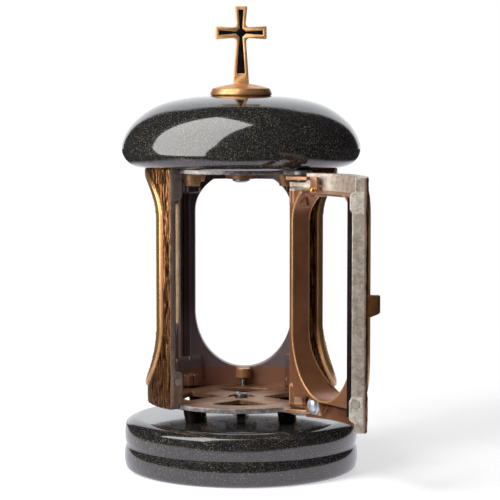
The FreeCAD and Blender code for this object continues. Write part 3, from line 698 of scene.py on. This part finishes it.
@dataclass
class BarkRelief:
    """The tree of nodes that raises the bark-like grooves on a panel's outer face."""

    spacing: float = 1.35 * MM
    length: float = 22.0 * MM
    depth: float = 0.8 * MM
    bend: Place = (1.6, 0.5, 0.0)
    break_up: Place = (2.2, 7.0, 1.0)
    steepness: float = 3.4
    roundness: float = 0.65
    ground: float = 0.72

    def tree(self) -> bpy.types.NodeTree:
        """Builds the tree.

        Returns:
            The tree, with named inputs for its sizes, its seed and its material.
        """
        tree = bpy.data.node_groups.new("bark_relief", "GeometryNodeTree")
        face = tree.interface
        face.new_socket("Geometry", in_out="INPUT", socket_type="NodeSocketGeometry")
        for name in ("Groove Spacing", "Groove Length", "Groove Depth", "Seed"):
            face.new_socket(name, in_out="INPUT", socket_type="NodeSocketFloat")
        face.new_socket("Finish", in_out="INPUT", socket_type="NodeSocketMaterial")
        face.new_socket("Geometry", in_out="OUTPUT", socket_type="NodeSocketGeometry")
        sheet = Sheet(tree)
        given = sheet.add("NodeGroupInput").outputs
        arc, height, bark, outward = (
            sheet.add("GeometryNodeInputNamedAttribute", {"Name": name}, data_type=kind).outputs[0]
            for name, kind in (("arc", "FLOAT"), ("height", "FLOAT"), ("bark", "FLOAT"),
                               ("outward", "FLOAT_VECTOR")))
        place = sheet.add("ShaderNodeCombineXYZ", {0: sheet.sum("DIVIDE", arc, given["Groove Spacing"]),
                                                   1: sheet.sum("DIVIDE", height, given["Groove Length"]),
                                                   2: given["Seed"]}).outputs[0]
        waves = sheet.vector("SUBTRACT", self.noise(sheet, place, 0.9, 2.0)[1], (0.5, 0.5, 0.5))
        place = sheet.vector("ADD", place, sheet.vector("MULTIPLY", waves, self.bend))
        value = self.noise(sheet, place, 1.0, 2.5)[0]
        ridge = sheet.sum("ABSOLUTE", sheet.sum("SUBTRACT", sheet.times(value, 2.0), 1.0))
        crest = sheet.sum("POWER", sheet.times(ridge, self.steepness, clamp=True), self.roundness)
        rough = self.noise(sheet, sheet.vector("MULTIPLY", place, self.break_up), 1.0, 2.0)[0]
        crest = sheet.times(crest, sheet.line(rough, 0.9, 0.45), clamp=True)
        plain = sheet.times(sheet.sum("SUBTRACT", 1.0, bark), 0.5)
        relief = sheet.plus(sheet.times(crest, bark), plain)
        lift = sheet.times(sheet.swing(crest, bark, self.ground), given["Groove Depth"])
        kept = sheet.add("GeometryNodeStoreNamedAttribute", {
            "Geometry": given["Geometry"], "Name": "relief", "Value": relief},
            data_type="FLOAT", domain="POINT").outputs[0]
        move = sheet.add("ShaderNodeVectorMath", {0: outward, "Scale": lift}, operation="SCALE").outputs[0]
        raised = sheet.add("GeometryNodeSetPosition", {"Geometry": kept, "Offset": move}).outputs[0]
        real = sheet.add("GeometryNodeRealizeInstances", {0: raised}).outputs[0]
        done = sheet.add("GeometryNodeSetMaterial", {"Geometry": real, "Material": given["Finish"]})
        sheet.add("NodeGroupOutput", {"Geometry": done.outputs[0]})
        return tree

    @staticmethod
    def noise(sheet: Sheet, place: Socket, scale: float, detail: float) -> bpy.types.bpy_prop_collection:
        """Noise at a place, as a value and as a colour."""
        return sheet.add("ShaderNodeTexNoise", {"Vector": place, "Scale": scale, "Detail": detail,
                                                "Roughness": 0.55}).outputs

    def raise_on(self, thing: bpy.types.Object, tree: bpy.types.NodeTree, seed: float,
                 material: bpy.types.Material) -> None:
        """Raises the grooves on one panel.

        Args:
            thing: the panel, with the attributes arc, height, bark and outward.
            tree: the tree that tree() made.
            seed: a number that sets this panel's own pattern.
            material: the panel's finish.
        """
        step = thing.modifiers.new("bark", "NODES")
        step.node_group = tree
        values = {"Groove Spacing": self.spacing, "Groove Length": self.length, "Groove Depth": self.depth,
                  "Seed": seed, "Finish": material}
        for socket in tree.interface.items_tree:
            if socket.in_out == "INPUT" and socket.name in values:
                step[socket.identifier] = values[socket.name]


@dataclass(frozen=True)
class DoorShares:
    """How far each worked face of the door is taken to its finish, where 1 is all the way."""

    rim_end: float = 0.35
    wall_end: float = 0.8
    band: float = 0.8
    rib: float = 0.6
    top: float = 0.8
    free_block: float = 1.0
    hinge_block: float = 0.25
    low_hinge_block: float = 0.5
    seat_line: float = 0.75
    pad_matt: float = 0.6


@dataclass(frozen=True)
class FixedShares:
    """How far each worked face of a fixed panel is taken to its finish, where 1 is all the way, and how
    strong the painted highlights and the painted inner shade are.
    """

    front_end: float = 0.36
    front_block: float = 0.42
    top: float = 0.35
    # Share of the highlight painted on the lug.
    lug_highlight: float = 0.55
    # Share of the highlight painted along the window's jambs.
    jamb_highlight: float = 0.4
    # Shares of the grey painted as shade on the inner faces, below and above the step near the seat.
    least_inner_shade: float = 0.25
    most_inner_shade: float = 0.95


@dataclass
class PanelSurface:
    """The points of one panel, as they lie with the panel turned back to the front and shut.

    local is where each point lies, and out the way straight away from the axis there. upright, facing and
    side are how far its normal points up or down, outwards and sideways. radius and gap are its distances
    from the axis and from the window's edge.
    """

    local: np.ndarray
    upright: np.ndarray
    radius: np.ndarray
    out: np.ndarray
    facing: np.ndarray
    side: np.ndarray
    gap: np.ndarray


@dataclass
class CastPanels:
    """The four panels of the body, as castings with bark on their outer faces."""

    radius: float = 60.0 * MM
    wall: float = 7.2 * MM
    voxel: float = 0.53 * MM
    window_half: float = 32.026 * MM
    window_low: float = 96.3 * MM
    window_high: float = 162.7 * MM
    low_end: float = 39.0 * MM
    high_end: float = 26.0 * MM
    rim: float = 4.0 * MM
    hinge: Pair = (39.083 * MM, -50.934 * MM)
    open_angle: float = 123.3
    high_band_low: float = 180.3 * MM
    seat_face: float = 39.4 * MM
    block_depth: float = 11.0 * MM
    door_blocks: tuple[Pair, Pair] = ((49.6 * MM, 63.9 * MM), (172.2 * MM, 184.0 * MM))
    fixed_blocks: tuple[Pair, Pair] = ((45.8 * MM, 66.5 * MM), (174.7 * MM, 190.6 * MM))
    middle: float = 100 * MM
    skin: float = 1.2 * MM
    end_half: float = 1.6 * MM
    block_margin: float = 0.6 * MM
    rib_side: float = -33 * MM
    door_top: float = 185 * MM
    fixed_top: float = 184 * MM
    lug_half: float = 6 * MM
    jamb_depth: float = 3.2 * MM
    jamb_half: float = 0.9 * MM
    # Height above which the inner faces take the fuller painted shade.
    inner_shade_low: float = 57 * MM
    door: DoorShares = DoorShares()
    fixed: FixedShares = FixedShares()

    def angle(self, side: Side) -> float:
        """How far a panel stands turned from the front, in radians."""
        return math.radians(self.open_angle if side is Side.DOOR else 90 * side.value)

    @staticmethod
    def spin(angle: float) -> np.ndarray:
        """The matrix of a turn about the upright axis, by an angle in radians."""
        return np.array([[math.cos(angle), -math.sin(angle), 0], [math.sin(angle), math.cos(angle), 0],
                         [0, 0, 1]])

    def local_place(self, points: np.ndarray, side: Side) -> np.ndarray:
        """Places seen with the panel turned back to the front and shut.

        Args:
            points: places as they are.
            side: which panel it is.

        Returns:
            The places in the front panel's frame.
        """
        centre = np.array([*self.hinge, 0.0]) if side is Side.DOOR else np.zeros(3)
        return (points - centre) @ self.spin(-self.angle(side)).T + centre

    def window_gap(self, local: np.ndarray) -> np.ndarray:
        """Distance of each place from the window's edge, negative inside it.

        Args:
            local: places in the front panel's frame.

        Returns:
            The distances.
        """
        past = local[:, 2] - np.clip(local[:, 2], self.window_low, self.window_high)
        end = np.where(past < 0, self.low_end, self.high_end)
        across, along = local[:, 0] / self.window_half, past / end
        share = np.maximum(np.hypot(across, along), 1e-6)
        slope = np.hypot(across / self.window_half, along / end) / share
        return (share - 1) / np.maximum(slope, 1e-6)

    def surface(self, mesh: bpy.types.Mesh, side: Side) -> PanelSurface:
        """Reads where each point of a panel lies and which way it faces.

        Args:
            mesh: the panel's mesh.
            side: which panel it is.

        Returns:
            The panel's points.
        """
        count = len(mesh.vertices)
        points, normals = np.empty(count * 3), np.empty(count * 3)
        mesh.vertices.foreach_get("co", points)
        mesh.vertices.foreach_get("normal", normals)
        points, normals = points.reshape(-1, 3), normals.reshape(-1, 3)
        local = self.local_place(points, side)
        ahead = self.local_place(points + normals, side) - local
        radius = np.hypot(local[:, 0], local[:, 1])
        out = np.stack([local[:, 0] / radius, local[:, 1] / radius, np.zeros(count)], 1)
        sideways = np.abs(ahead[:, 0] * -out[:, 1] + ahead[:, 1] * out[:, 0])
        return PanelSurface(local=local, upright=np.abs(ahead[:, 2]), radius=radius, out=out,
                            facing=(out * ahead).sum(1), side=sideways, gap=self.window_gap(local))

    def door_marks(self, at: PanelSurface, end: np.ndarray, level: np.ndarray,
                   blocks: np.ndarray) -> dict[str, np.ndarray]:
        """Finds the door's filed faces, its seat's bright line and its blocks.

        Args:
            at: the door's points.
            end: which points lie on the two end faces.
            level: which points lie as high as the corner blocks.
            blocks: which points lie on the corner blocks.

        Returns:
            The shares of cut faces, of lip and of painted inner shade, and what the free end's blocks and
            pads add to matt.
        """
        across, depth, height = at.local[:, 0], -at.local[:, 1], at.local[:, 2]
        seat = (depth < self.seat_face + 0.6 * MM) * (depth > self.seat_face - 1.4 * MM) * (at.facing < 0)
        line = self.door.seat_line * seat * (at.gap < 1.2 * MM) * (at.gap > -0.6 * MM)
        band = (at.facing < -0.5) * (height > self.high_band_low + 1.5 * MM)
        rib = (at.facing < -0.3) * (across < self.rib_side) * (at.radius < self.radius - self.wall)
        top = (at.upright > 0.8) * (height > self.door_top)
        blocks = blocks * (seat < 1)
        free = blocks * (across < 0)
        low_hinge = blocks * (across > 0) * (height < self.middle)
        outer = at.radius > self.radius - 1.5 * MM
        filed = end * np.where(outer, self.door.rim_end, self.door.wall_end)
        pad = end * level * (across < 0) * (at.radius < self.radius - 1.5 * MM)
        cut = np.maximum.reduce([
            filed, pad, self.door.band * band, self.door.rib * rib, self.door.top * top,
            self.door.free_block * free, self.door.hinge_block * blocks])
        return {"cut": cut, "lip": np.maximum(line, self.door.low_hinge_block * low_hinge),
                "soot": np.zeros(len(cut)), "matt": self.door.pad_matt * np.maximum(pad, free)}

    def fixed_marks(self, at: PanelSurface, side: Side, end: np.ndarray, blocks: np.ndarray,
                    rim: np.ndarray) -> dict[str, np.ndarray]:
        """Finds a fixed panel's filed faces, the highlight painted along its window jambs, the highlight
        painted on its lug and the shade painted inside it.

        Args:
            at: the panel's points.
            side: which panel it is.
            end: which points lie on the two end faces.
            blocks: which points lie on the corner blocks.
            rim: which points lie on the window's raised rim.

        Returns:
            The shares of cut faces and the painted jamb highlight, of lips and the painted highlights, and
            of the painted inner shade, and a matt of nothing.
        """
        across, height = at.local[:, 0], at.local[:, 2]
        inside = self.radius - self.wall
        front = (side is Side.RIGHT) * (across < 0) + (side is Side.LEFT) * (across > 0)
        cut = front * np.maximum(self.fixed.front_end * end, self.fixed.front_block * blocks)
        cut = np.maximum(cut, self.fixed.top * (height > self.fixed_top) * (at.radius < inside - 0.5 * MM))
        # Painted highlight: the lug is coloured as lip where light falls on it.
        lug_highlight = (np.abs(across) < self.lug_half) * (at.radius < inside - 0.4 * MM) * (height < self.middle)
        # Painted highlight: a bright line of light along the window's jambs, coloured as lip and cut face.
        jamb_highlight = (side is not Side.BACK) * (front < 1) * (at.radius < inside + self.jamb_depth)
        jamb_highlight = jamb_highlight * (at.facing < 0.3)
        jamb_highlight = jamb_highlight * (np.abs(np.abs(across) - self.window_half - 0.3 * MM) < self.jamb_half)
        jamb_highlight = jamb_highlight * (height > self.fixed_blocks[0][1]) * (height < self.fixed_blocks[1][0])
        lip = np.maximum(np.maximum(rim, self.fixed.lug_highlight * lug_highlight), jamb_highlight)
        # Painted shade on the inner faces of the fixed panels, fuller above a step near the seat.
        rise = np.clip((height - self.inner_shade_low) / (2 * MM), self.fixed.least_inner_shade, self.fixed.most_inner_shade)
        soot = (at.facing < 0.2) * (at.radius < self.radius - 2 * MM) * rise * (lip < 0.1)
        return {"cut": np.maximum(cut, self.fixed.jamb_highlight * jamb_highlight), "lip": lip, "soot": soot,
                "matt": np.zeros(len(cut))}

    def mark(self, mesh: bpy.types.Mesh, side: Side) -> None:
        """Stores what the bark and the finish need to know at each point.

        Args:
            mesh: the panel's mesh.
            side: which panel it is.
        """
        at = self.surface(mesh, side)
        across, deep, height = at.local[:, 0], at.local[:, 1], at.local[:, 2]
        outer = at.radius > self.radius - self.skin
        bark = np.clip((at.gap - self.rim - 0.1 * MM) / (0.5 * MM), 0, 1) * outer
        bark = bark * np.clip((at.facing - 0.3) / 0.3, 0, 1)
        rim = (at.radius > self.radius + 0.25 * MM) * (at.gap < self.rim + 0.5 * MM)
        matt = 1.0 - outer * (at.facing > -0.2) * (at.side < 0.6)
        end = (np.abs(np.abs(across) - np.abs(deep)) < self.end_half) * (at.side > 0.6)
        along = (np.abs(across) - deep) / math.sqrt(2)
        off = np.abs(np.abs(across) + deep) / math.sqrt(2)
        blocks = (along < self.radius - self.wall - 0.3 * MM) * (off < self.block_depth + 0.5 * MM)
        spans = self.door_blocks if side is Side.DOOR else self.fixed_blocks
        low, high = ((height > start - self.block_margin) * (height < stop + self.block_margin)
                     for start, stop in spans)
        level = low + high > 0
        blocks = blocks * (at.gap > 0.8 * MM) * level
        if side is Side.DOOR:
            found = self.door_marks(at, end, level, blocks)
        else:
            found = self.fixed_marks(at, side, end, blocks, rim)
        found["lip"] = np.maximum(found["lip"], rim)
        found["matt"] = found["matt"] + matt
        found |= {"arc": np.arctan2(across, -deep) * self.radius, "height": height, "bark": bark}
        for name, values in found.items():
            mesh.attributes.new(name, "FLOAT", "POINT").data.foreach_set("value", values.astype(np.float32))
        outward = at.out @ self.spin(self.angle(side)).T
        mesh.attributes.new("outward", "FLOAT_VECTOR", "POINT").data.foreach_set(
            "vector", outward.astype(np.float32).ravel())

    def build(self, bronze: bpy.types.Material) -> None:
        """Makes the four castings.

        Args:
            bronze: their material.
        """
        relief = BarkRelief()
        tree = relief.tree()
        for side in Side:
            name = side.name.lower() + "_panel"
            panel = placed(name + "_casting", merged_copy(name))
            net = panel.modifiers.new("net", "REMESH")
            net.mode, net.voxel_size, net.adaptivity = "VOXEL", self.voxel, 0.0
            soft = panel.modifiers.new("soft", "SMOOTH")
            soft.factor, soft.iterations = 0.5, 2
            settled(panel)
            self.mark(panel.data, side)
            relief.raise_on(panel, tree, 3.7 * side.value + 1.3, bronze)
            settled(panel)
            panel.data.shade_smooth()
            dress(panel, bronze)
            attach(panel, (Body.DOOR if side is Side.DOOR else Body.LANTERN).value)
            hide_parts(name)
            LOG.info("%s: %d faces", panel.name, len(panel.data.polygons))


@dataclass
class TrimmedPieces:
    """Smaller pieces of metal, carried over from the CAD with their edges broken as a file would."""

    width: float = 0.35 * MM
    fine_width: float = 0.15 * MM
    fine: tuple[str, ...] = ("screw", "washer", "pin", "bolt")
    steps: int = 2
    flat: float = 0.6
    corner: float = 42.0
    sharp: float = 36.0

    def build(self, pieces: dict[str, tuple[str, bpy.types.Material]], slots: dict[str, str]) -> None:
        """Makes each piece.

        Args:
            pieces: node name to the body that it rides on and its material.
            slots: node name to the record's material slot; not used.
        """
        for node, (body, material) in pieces.items():
            piece = placed(node + "_trimmed", merged_copy(node, math.radians(self.flat)))
            edge = piece.modifiers.new("edge", "BEVEL")
            edge.width = self.fine_width if any(word in node for word in self.fine) else self.width
            edge.segments = self.steps
            edge.limit_method, edge.angle_limit = "ANGLE", math.radians(self.corner)
            edge.harden_normals = False
            settled(piece)
            smoothed(piece.data, self.sharp)
            dress(piece, material)
            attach(piece, body)
            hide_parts(node)
            LOG.info("%s: %d faces", piece.name, len(piece.data.polygons))


@dataclass(frozen=True)
class SoftBox:
    """A lamp with a wide, even face."""

    name: str
    place: Place
    size: Pair
    watts: float
    colour: Colour
    aim: Place = (0, 0, 0.15)

    def hang(self) -> None:
        """Hangs the lamp so that it faces its aim."""
        data = bpy.data.lights.new(self.name, "AREA")
        data.shape, data.size, data.size_y = "RECTANGLE", *self.size
        data.energy, data.color = self.watts, self.colour
        lamp = placed(self.name, data)
        lamp.visible_glossy = False
        lamp.location = self.place
        lamp.rotation_euler = (Vector(self.aim) - Vector(self.place)).to_track_quat("-Z", "Y").to_euler()


@dataclass
class Studio:
    """The pale floor, the soft light, the surround that the polish reflects, and the camera."""

    distance: float = 1307.0 * MM
    height: float = 250.8 * MM
    turn: float = 1.9
    aim_height: float = 140.2 * MM
    aim_side: float = 5.65 * MM
    lens: float = 147.6
    boxes: tuple[SoftBox, ...] = (
        SoftBox("key_box", (-0.95, -0.95, 0.95), (0.8, 0.8), 24.0, (1.0, 0.99, 0.97)),
        SoftBox("fill_box", (1.1, -1.0, 0.9), (0.9, 0.9), 0.9, (0.97, 0.98, 1.0)),
        SoftBox("back_box", (0.3, 1.4, 1.1), (1.2, 0.8), 6.0, (1.0, 1.0, 1.0)),
    )
    white: Colour = (1.0, 1.0, 1.0)
    soft_light: Colour = (0.17, 0.17, 0.18)
    dark_room: Colour = (0.016, 0.014, 0.019)
    backdrop: Colour = (1.2, 1.22, 1.26)
    backdrop_side: Pair = (0.52, 0.40)
    backdrop_top: Pair = (1.25, 0.95)
    floor_half: float = 4.0
    floor_pale: Colour = (0.86, 0.86, 0.86)
    floor_palest: Colour = (0.9, 0.9, 0.9)
    floor_glow: float = 0.5
    floor_fade: Pair = (0.3, 0.8)
    table: Colour = (1.02, 0.97, 1.07)
    table_front: Pair = (-0.22, -0.14)
    table_side: Pair = (0.32, 0.20)
    table_least: float = 0.03
    card_middle: Place = (-0.127, -0.168, 0.262)
    card_across: Place = (0.721, -0.689, -0.073)
    card_up: Place = (0.322, 0.239, 0.916)
    card_corners: tuple[Pair, ...] = ((-0.188, -0.19), (0.058, -0.19), (0.062, 0.466), (-0.188, 0.466))
    card_colour: Colour = (1.0, 0.99, 0.97)
    card_light: float = 4.3

    def camera(self) -> None:
        """Places the camera."""
        turn = math.radians(self.turn)
        eye = Vector((self.distance * math.sin(turn), -self.distance * math.cos(turn), self.height))
        aim = Vector((self.aim_side * math.cos(turn), self.aim_side * math.sin(turn), self.aim_height))
        data = bpy.data.cameras.new("camera")
        data.lens, data.sensor_width = self.lens, 36.0
        data.clip_start, data.clip_end = 0.05, 30.0
        camera = placed("camera", data)
        camera.location = eye
        camera.rotation_euler = (aim - eye).to_track_quat("-Z", "Y").to_euler()
        bpy.context.scene.camera = camera

    def surround(self) -> None:
        """Builds the world: white to the camera, and a bright backdrop with a dark room to the polish."""
        world = bpy.data.worlds.new("studio")
        bpy.context.scene.world = world
        world.use_nodes = True
        world.node_tree.nodes.clear()
        sheet = Sheet(world.node_tree)
        across, deep, up = sheet.parts(sheet.add("ShaderNodeTexCoord").outputs["Generated"])
        wide = sheet.sum("DIVIDE", sheet.sum("ABSOLUTE", across), sheet.sum("MAXIMUM", deep, 0.01))
        tall = sheet.sum("DIVIDE", up, sheet.sum("MAXIMUM", deep, 0.01))
        lit = sheet.times(sheet.between(wide, *self.backdrop_side), sheet.between(tall, *self.backdrop_top))
        lit = sheet.times(lit, sheet.between(deep, 0.0, 0.1))
        room = sheet.blend(lit, self.dark_room, self.backdrop)
        rays = sheet.add("ShaderNodeLightPath").outputs
        seen = sheet.sum("MAXIMUM", rays["Is Glossy Ray"], rays["Is Transmission Ray"])
        colour = sheet.blend(seen, self.soft_light, room)
        colour = sheet.blend(rays["Is Camera Ray"], colour, self.white)
        light = sheet.add("ShaderNodeBackground", {"Color": colour, "Strength": 1.0})
        sheet.add("ShaderNodeOutputWorld", {"Surface": light.outputs[0]})

    def stage(self, name: str, corners: list, finish: str) -> tuple[bpy.types.Object, Sheet]:
        """Sets up a flat sheet of the studio with an empty material.

        Args:
            name: its name.
            corners: its four corners in order.
            finish: its material's name.

        Returns:
            The object and the sheet of its material's nodes.
        """
        mesh = bpy.data.meshes.new(name)
        mesh.from_pydata(corners, [], [(0, 1, 2, 3)])
        flat = placed(name, mesh)
        made = bpy.data.materials.new(finish)
        made.use_nodes = True
        made.node_tree.nodes.clear()
        dress(flat, made)
        return flat, Sheet(made.node_tree)

    def floor(self) -> None:
        """Lays the floor: pale with the object's shadow to the camera, a lit table to the polish."""
        half = self.floor_half
        corners = [(-half, -half, 0), (half, -half, 0), (half, half, 0), (-half, half, 0)]
        _, sheet = self.stage("floor", corners, "pale_floor")
        place = sheet.add("ShaderNodeTexCoord").outputs["Object"]
        colour = sheet.blend(sheet.noise(place, 3.0), self.floor_pale, self.floor_palest)
        matt = sheet.add("ShaderNodeBsdfDiffuse", {"Color": colour}).outputs[0]
        rays = sheet.add("ShaderNodeLightPath").outputs
        strength = sheet.times(rays["Is Camera Ray"], self.floor_glow)
        glow = sheet.add("ShaderNodeEmission", {"Color": self.white, "Strength": strength}).outputs[0]
        both = sheet.add("ShaderNodeAddShader", {0: matt, 1: glow}).outputs[0]
        white = sheet.add("ShaderNodeEmission", {"Color": self.white, "Strength": 1.0}).outputs[0]
        distance = sheet.add("ShaderNodeVectorMath", {0: place}, operation="LENGTH").outputs[1]
        far = sheet.times(sheet.between(distance, *self.floor_fade), rays["Is Camera Ray"])
        both = sheet.add("ShaderNodeMixShader", {0: far, 1: both, 2: white}).outputs[0]
        across, deep, _ = sheet.parts(place)
        near = sheet.times(sheet.between(deep, *self.table_front),
                           sheet.between(sheet.sum("ABSOLUTE", across), *self.table_side))
        strength = sheet.line(near, 1.0, self.table_least)
        table = sheet.add("ShaderNodeEmission", {"Color": self.table, "Strength": strength}).outputs[0]
        seen = sheet.sum("MAXIMUM", rays["Is Glossy Ray"], rays["Is Transmission Ray"])
        mixed = sheet.add("ShaderNodeMixShader", {0: seen, 1: both, 2: table}).outputs[0]
        sheet.add("ShaderNodeOutputMaterial", {"Surface": mixed})

    def card(self) -> None:
        """Hangs the tall bright card that the polish and the bronze reflect, seen by nothing else."""
        middle, across, up = (Vector(v) for v in (self.card_middle, self.card_across, self.card_up))
        corners = [middle + across * u + up * v for u, v in self.card_corners]
        card, sheet = self.stage("key_card", corners, "card_light")
        glow = sheet.add("ShaderNodeEmission", {"Color": self.card_colour, "Strength": self.card_light})
        sheet.add("ShaderNodeOutputMaterial", {"Surface": glow.outputs[0]})
        card.visible_camera = card.visible_diffuse = card.visible_transmission = card.visible_shadow = False
        card.visible_volume_scatter = False

    def build(self) -> None:
        """Sets up the whole studio."""
        self.camera()
        self.surround()
        self.floor()
        self.card()
        for box in self.boxes:
            box.hang()
        bpy.context.scene.view_settings.view_transform = "Standard"
        LOG.info("studio set")


@dataclass
class Lantern:
    """The whole lantern: which finish each piece has, and the classes that make the finer pieces."""

    trimmed: tuple[str, ...] = (
        "floor_plate", "top_plate", "finial_disc", "finial_cross", "door_knob", "lower_hinge_bracket",
        "upper_hinge_bracket", "lower_bracket_screw", "upper_bracket_screw", "lower_bracket_washer",
        "upper_bracket_washer", "lower_hinge_pin", "upper_hinge_pin", "base_bolt", "cap_bolt",
        "lower_panel_screws", "upper_panel_screws", "corner_screws")

    def finishes(self) -> dict[str, bpy.types.Material]:
        """Builds each finish once.

        Returns:
            Finish name to material.
        """
        made = [
            PolishedGranite(),
            CastBronze(),
            PlateBronze("plate_bronze", light=srgb(190, 148, 114), stain=srgb(126, 90, 66), smooth=0.4,
                        edge=srgb(190, 160, 130), metallic=0.75),
            WornMetal("finial_bronze", light=srgb(236, 186, 128), stain=srgb(186, 132, 84), smooth=0.3,
                      edge=srgb(246, 214, 166), metallic=0.65),
            WornMetal("knob_bronze", light=srgb(140, 92, 54), stain=srgb(92, 58, 36), smooth=0.42,
                      edge=srgb(176, 126, 82), metallic=0.75),
            WornMetal("bracket_bronze", light=srgb(214, 170, 132), stain=srgb(150, 110, 80), smooth=0.34,
                      edge=srgb(230, 205, 175), metallic=0.8),
            WornMetal("zinc_steel", light=srgb(222, 230, 236), stain=srgb(172, 186, 194), smooth=0.36,
                      edge=srgb(240, 244, 248), metallic=0.65),
            WornMetal("screw_brass", light=srgb(214, 158, 86), stain=srgb(140, 92, 44), smooth=0.26,
                      edge=srgb(240, 200, 130)),
            WornMetal("hinge_steel", light=srgb(170, 172, 175), stain=srgb(96, 94, 92), smooth=0.28,
                      edge=srgb(215, 216, 220)),
            WornMetal("magnet_metal", light=srgb(214, 208, 192), stain=srgb(160, 152, 138), smooth=0.36,
                      edge=srgb(120, 112, 100), metallic=0.5),
            Rubber(),
            GlossInlay(),
        ]
        return {finish.name: finish.make() for finish in made}

    def build(self) -> None:
        """Builds and dresses every piece."""
        metal = self.finishes()
        slots = [entry["slot"] for entry in frame["record"].get("materials", [])]
        nodes = frame["nodes"]
        other = {"black_granite": "polished_black_granite", "anchor_brass": "screw_brass"}
        own = {"door_knob": "knob_bronze", "lower_hinge_bracket": "bracket_bronze",
               "upper_hinge_bracket": "bracket_bronze"}
        slot_of = {}
        for name, thing in nodes.items():
            given = thing.material_slots[0].name if thing.material_slots else ""
            slot_of[name] = next((slot for slot in slots if given.startswith(slot)), "cast_bronze")
            dress(thing, metal[own.get(name, other.get(slot_of[name], slot_of[name]))])
        GraniteStones().build(metal["polished_black_granite"])
        CastPanels().build(metal["cast_bronze"])
        trimmed = {name: (nodes[name]["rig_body"], nodes[name].material_slots[0].material)
                   for name in self.trimmed}
        TrimmedPieces().build(trimmed, slot_of)


def main() -> None:
    """Builds the lantern and its studio, piece by piece."""
    logging.basicConfig(level=logging.INFO, format="%(message)s")
    Lantern().build()
    Studio().build()
    bpy.context.view_layer.update()
    LOG.info("sizes written")


if __name__ == "__main__":
    main()
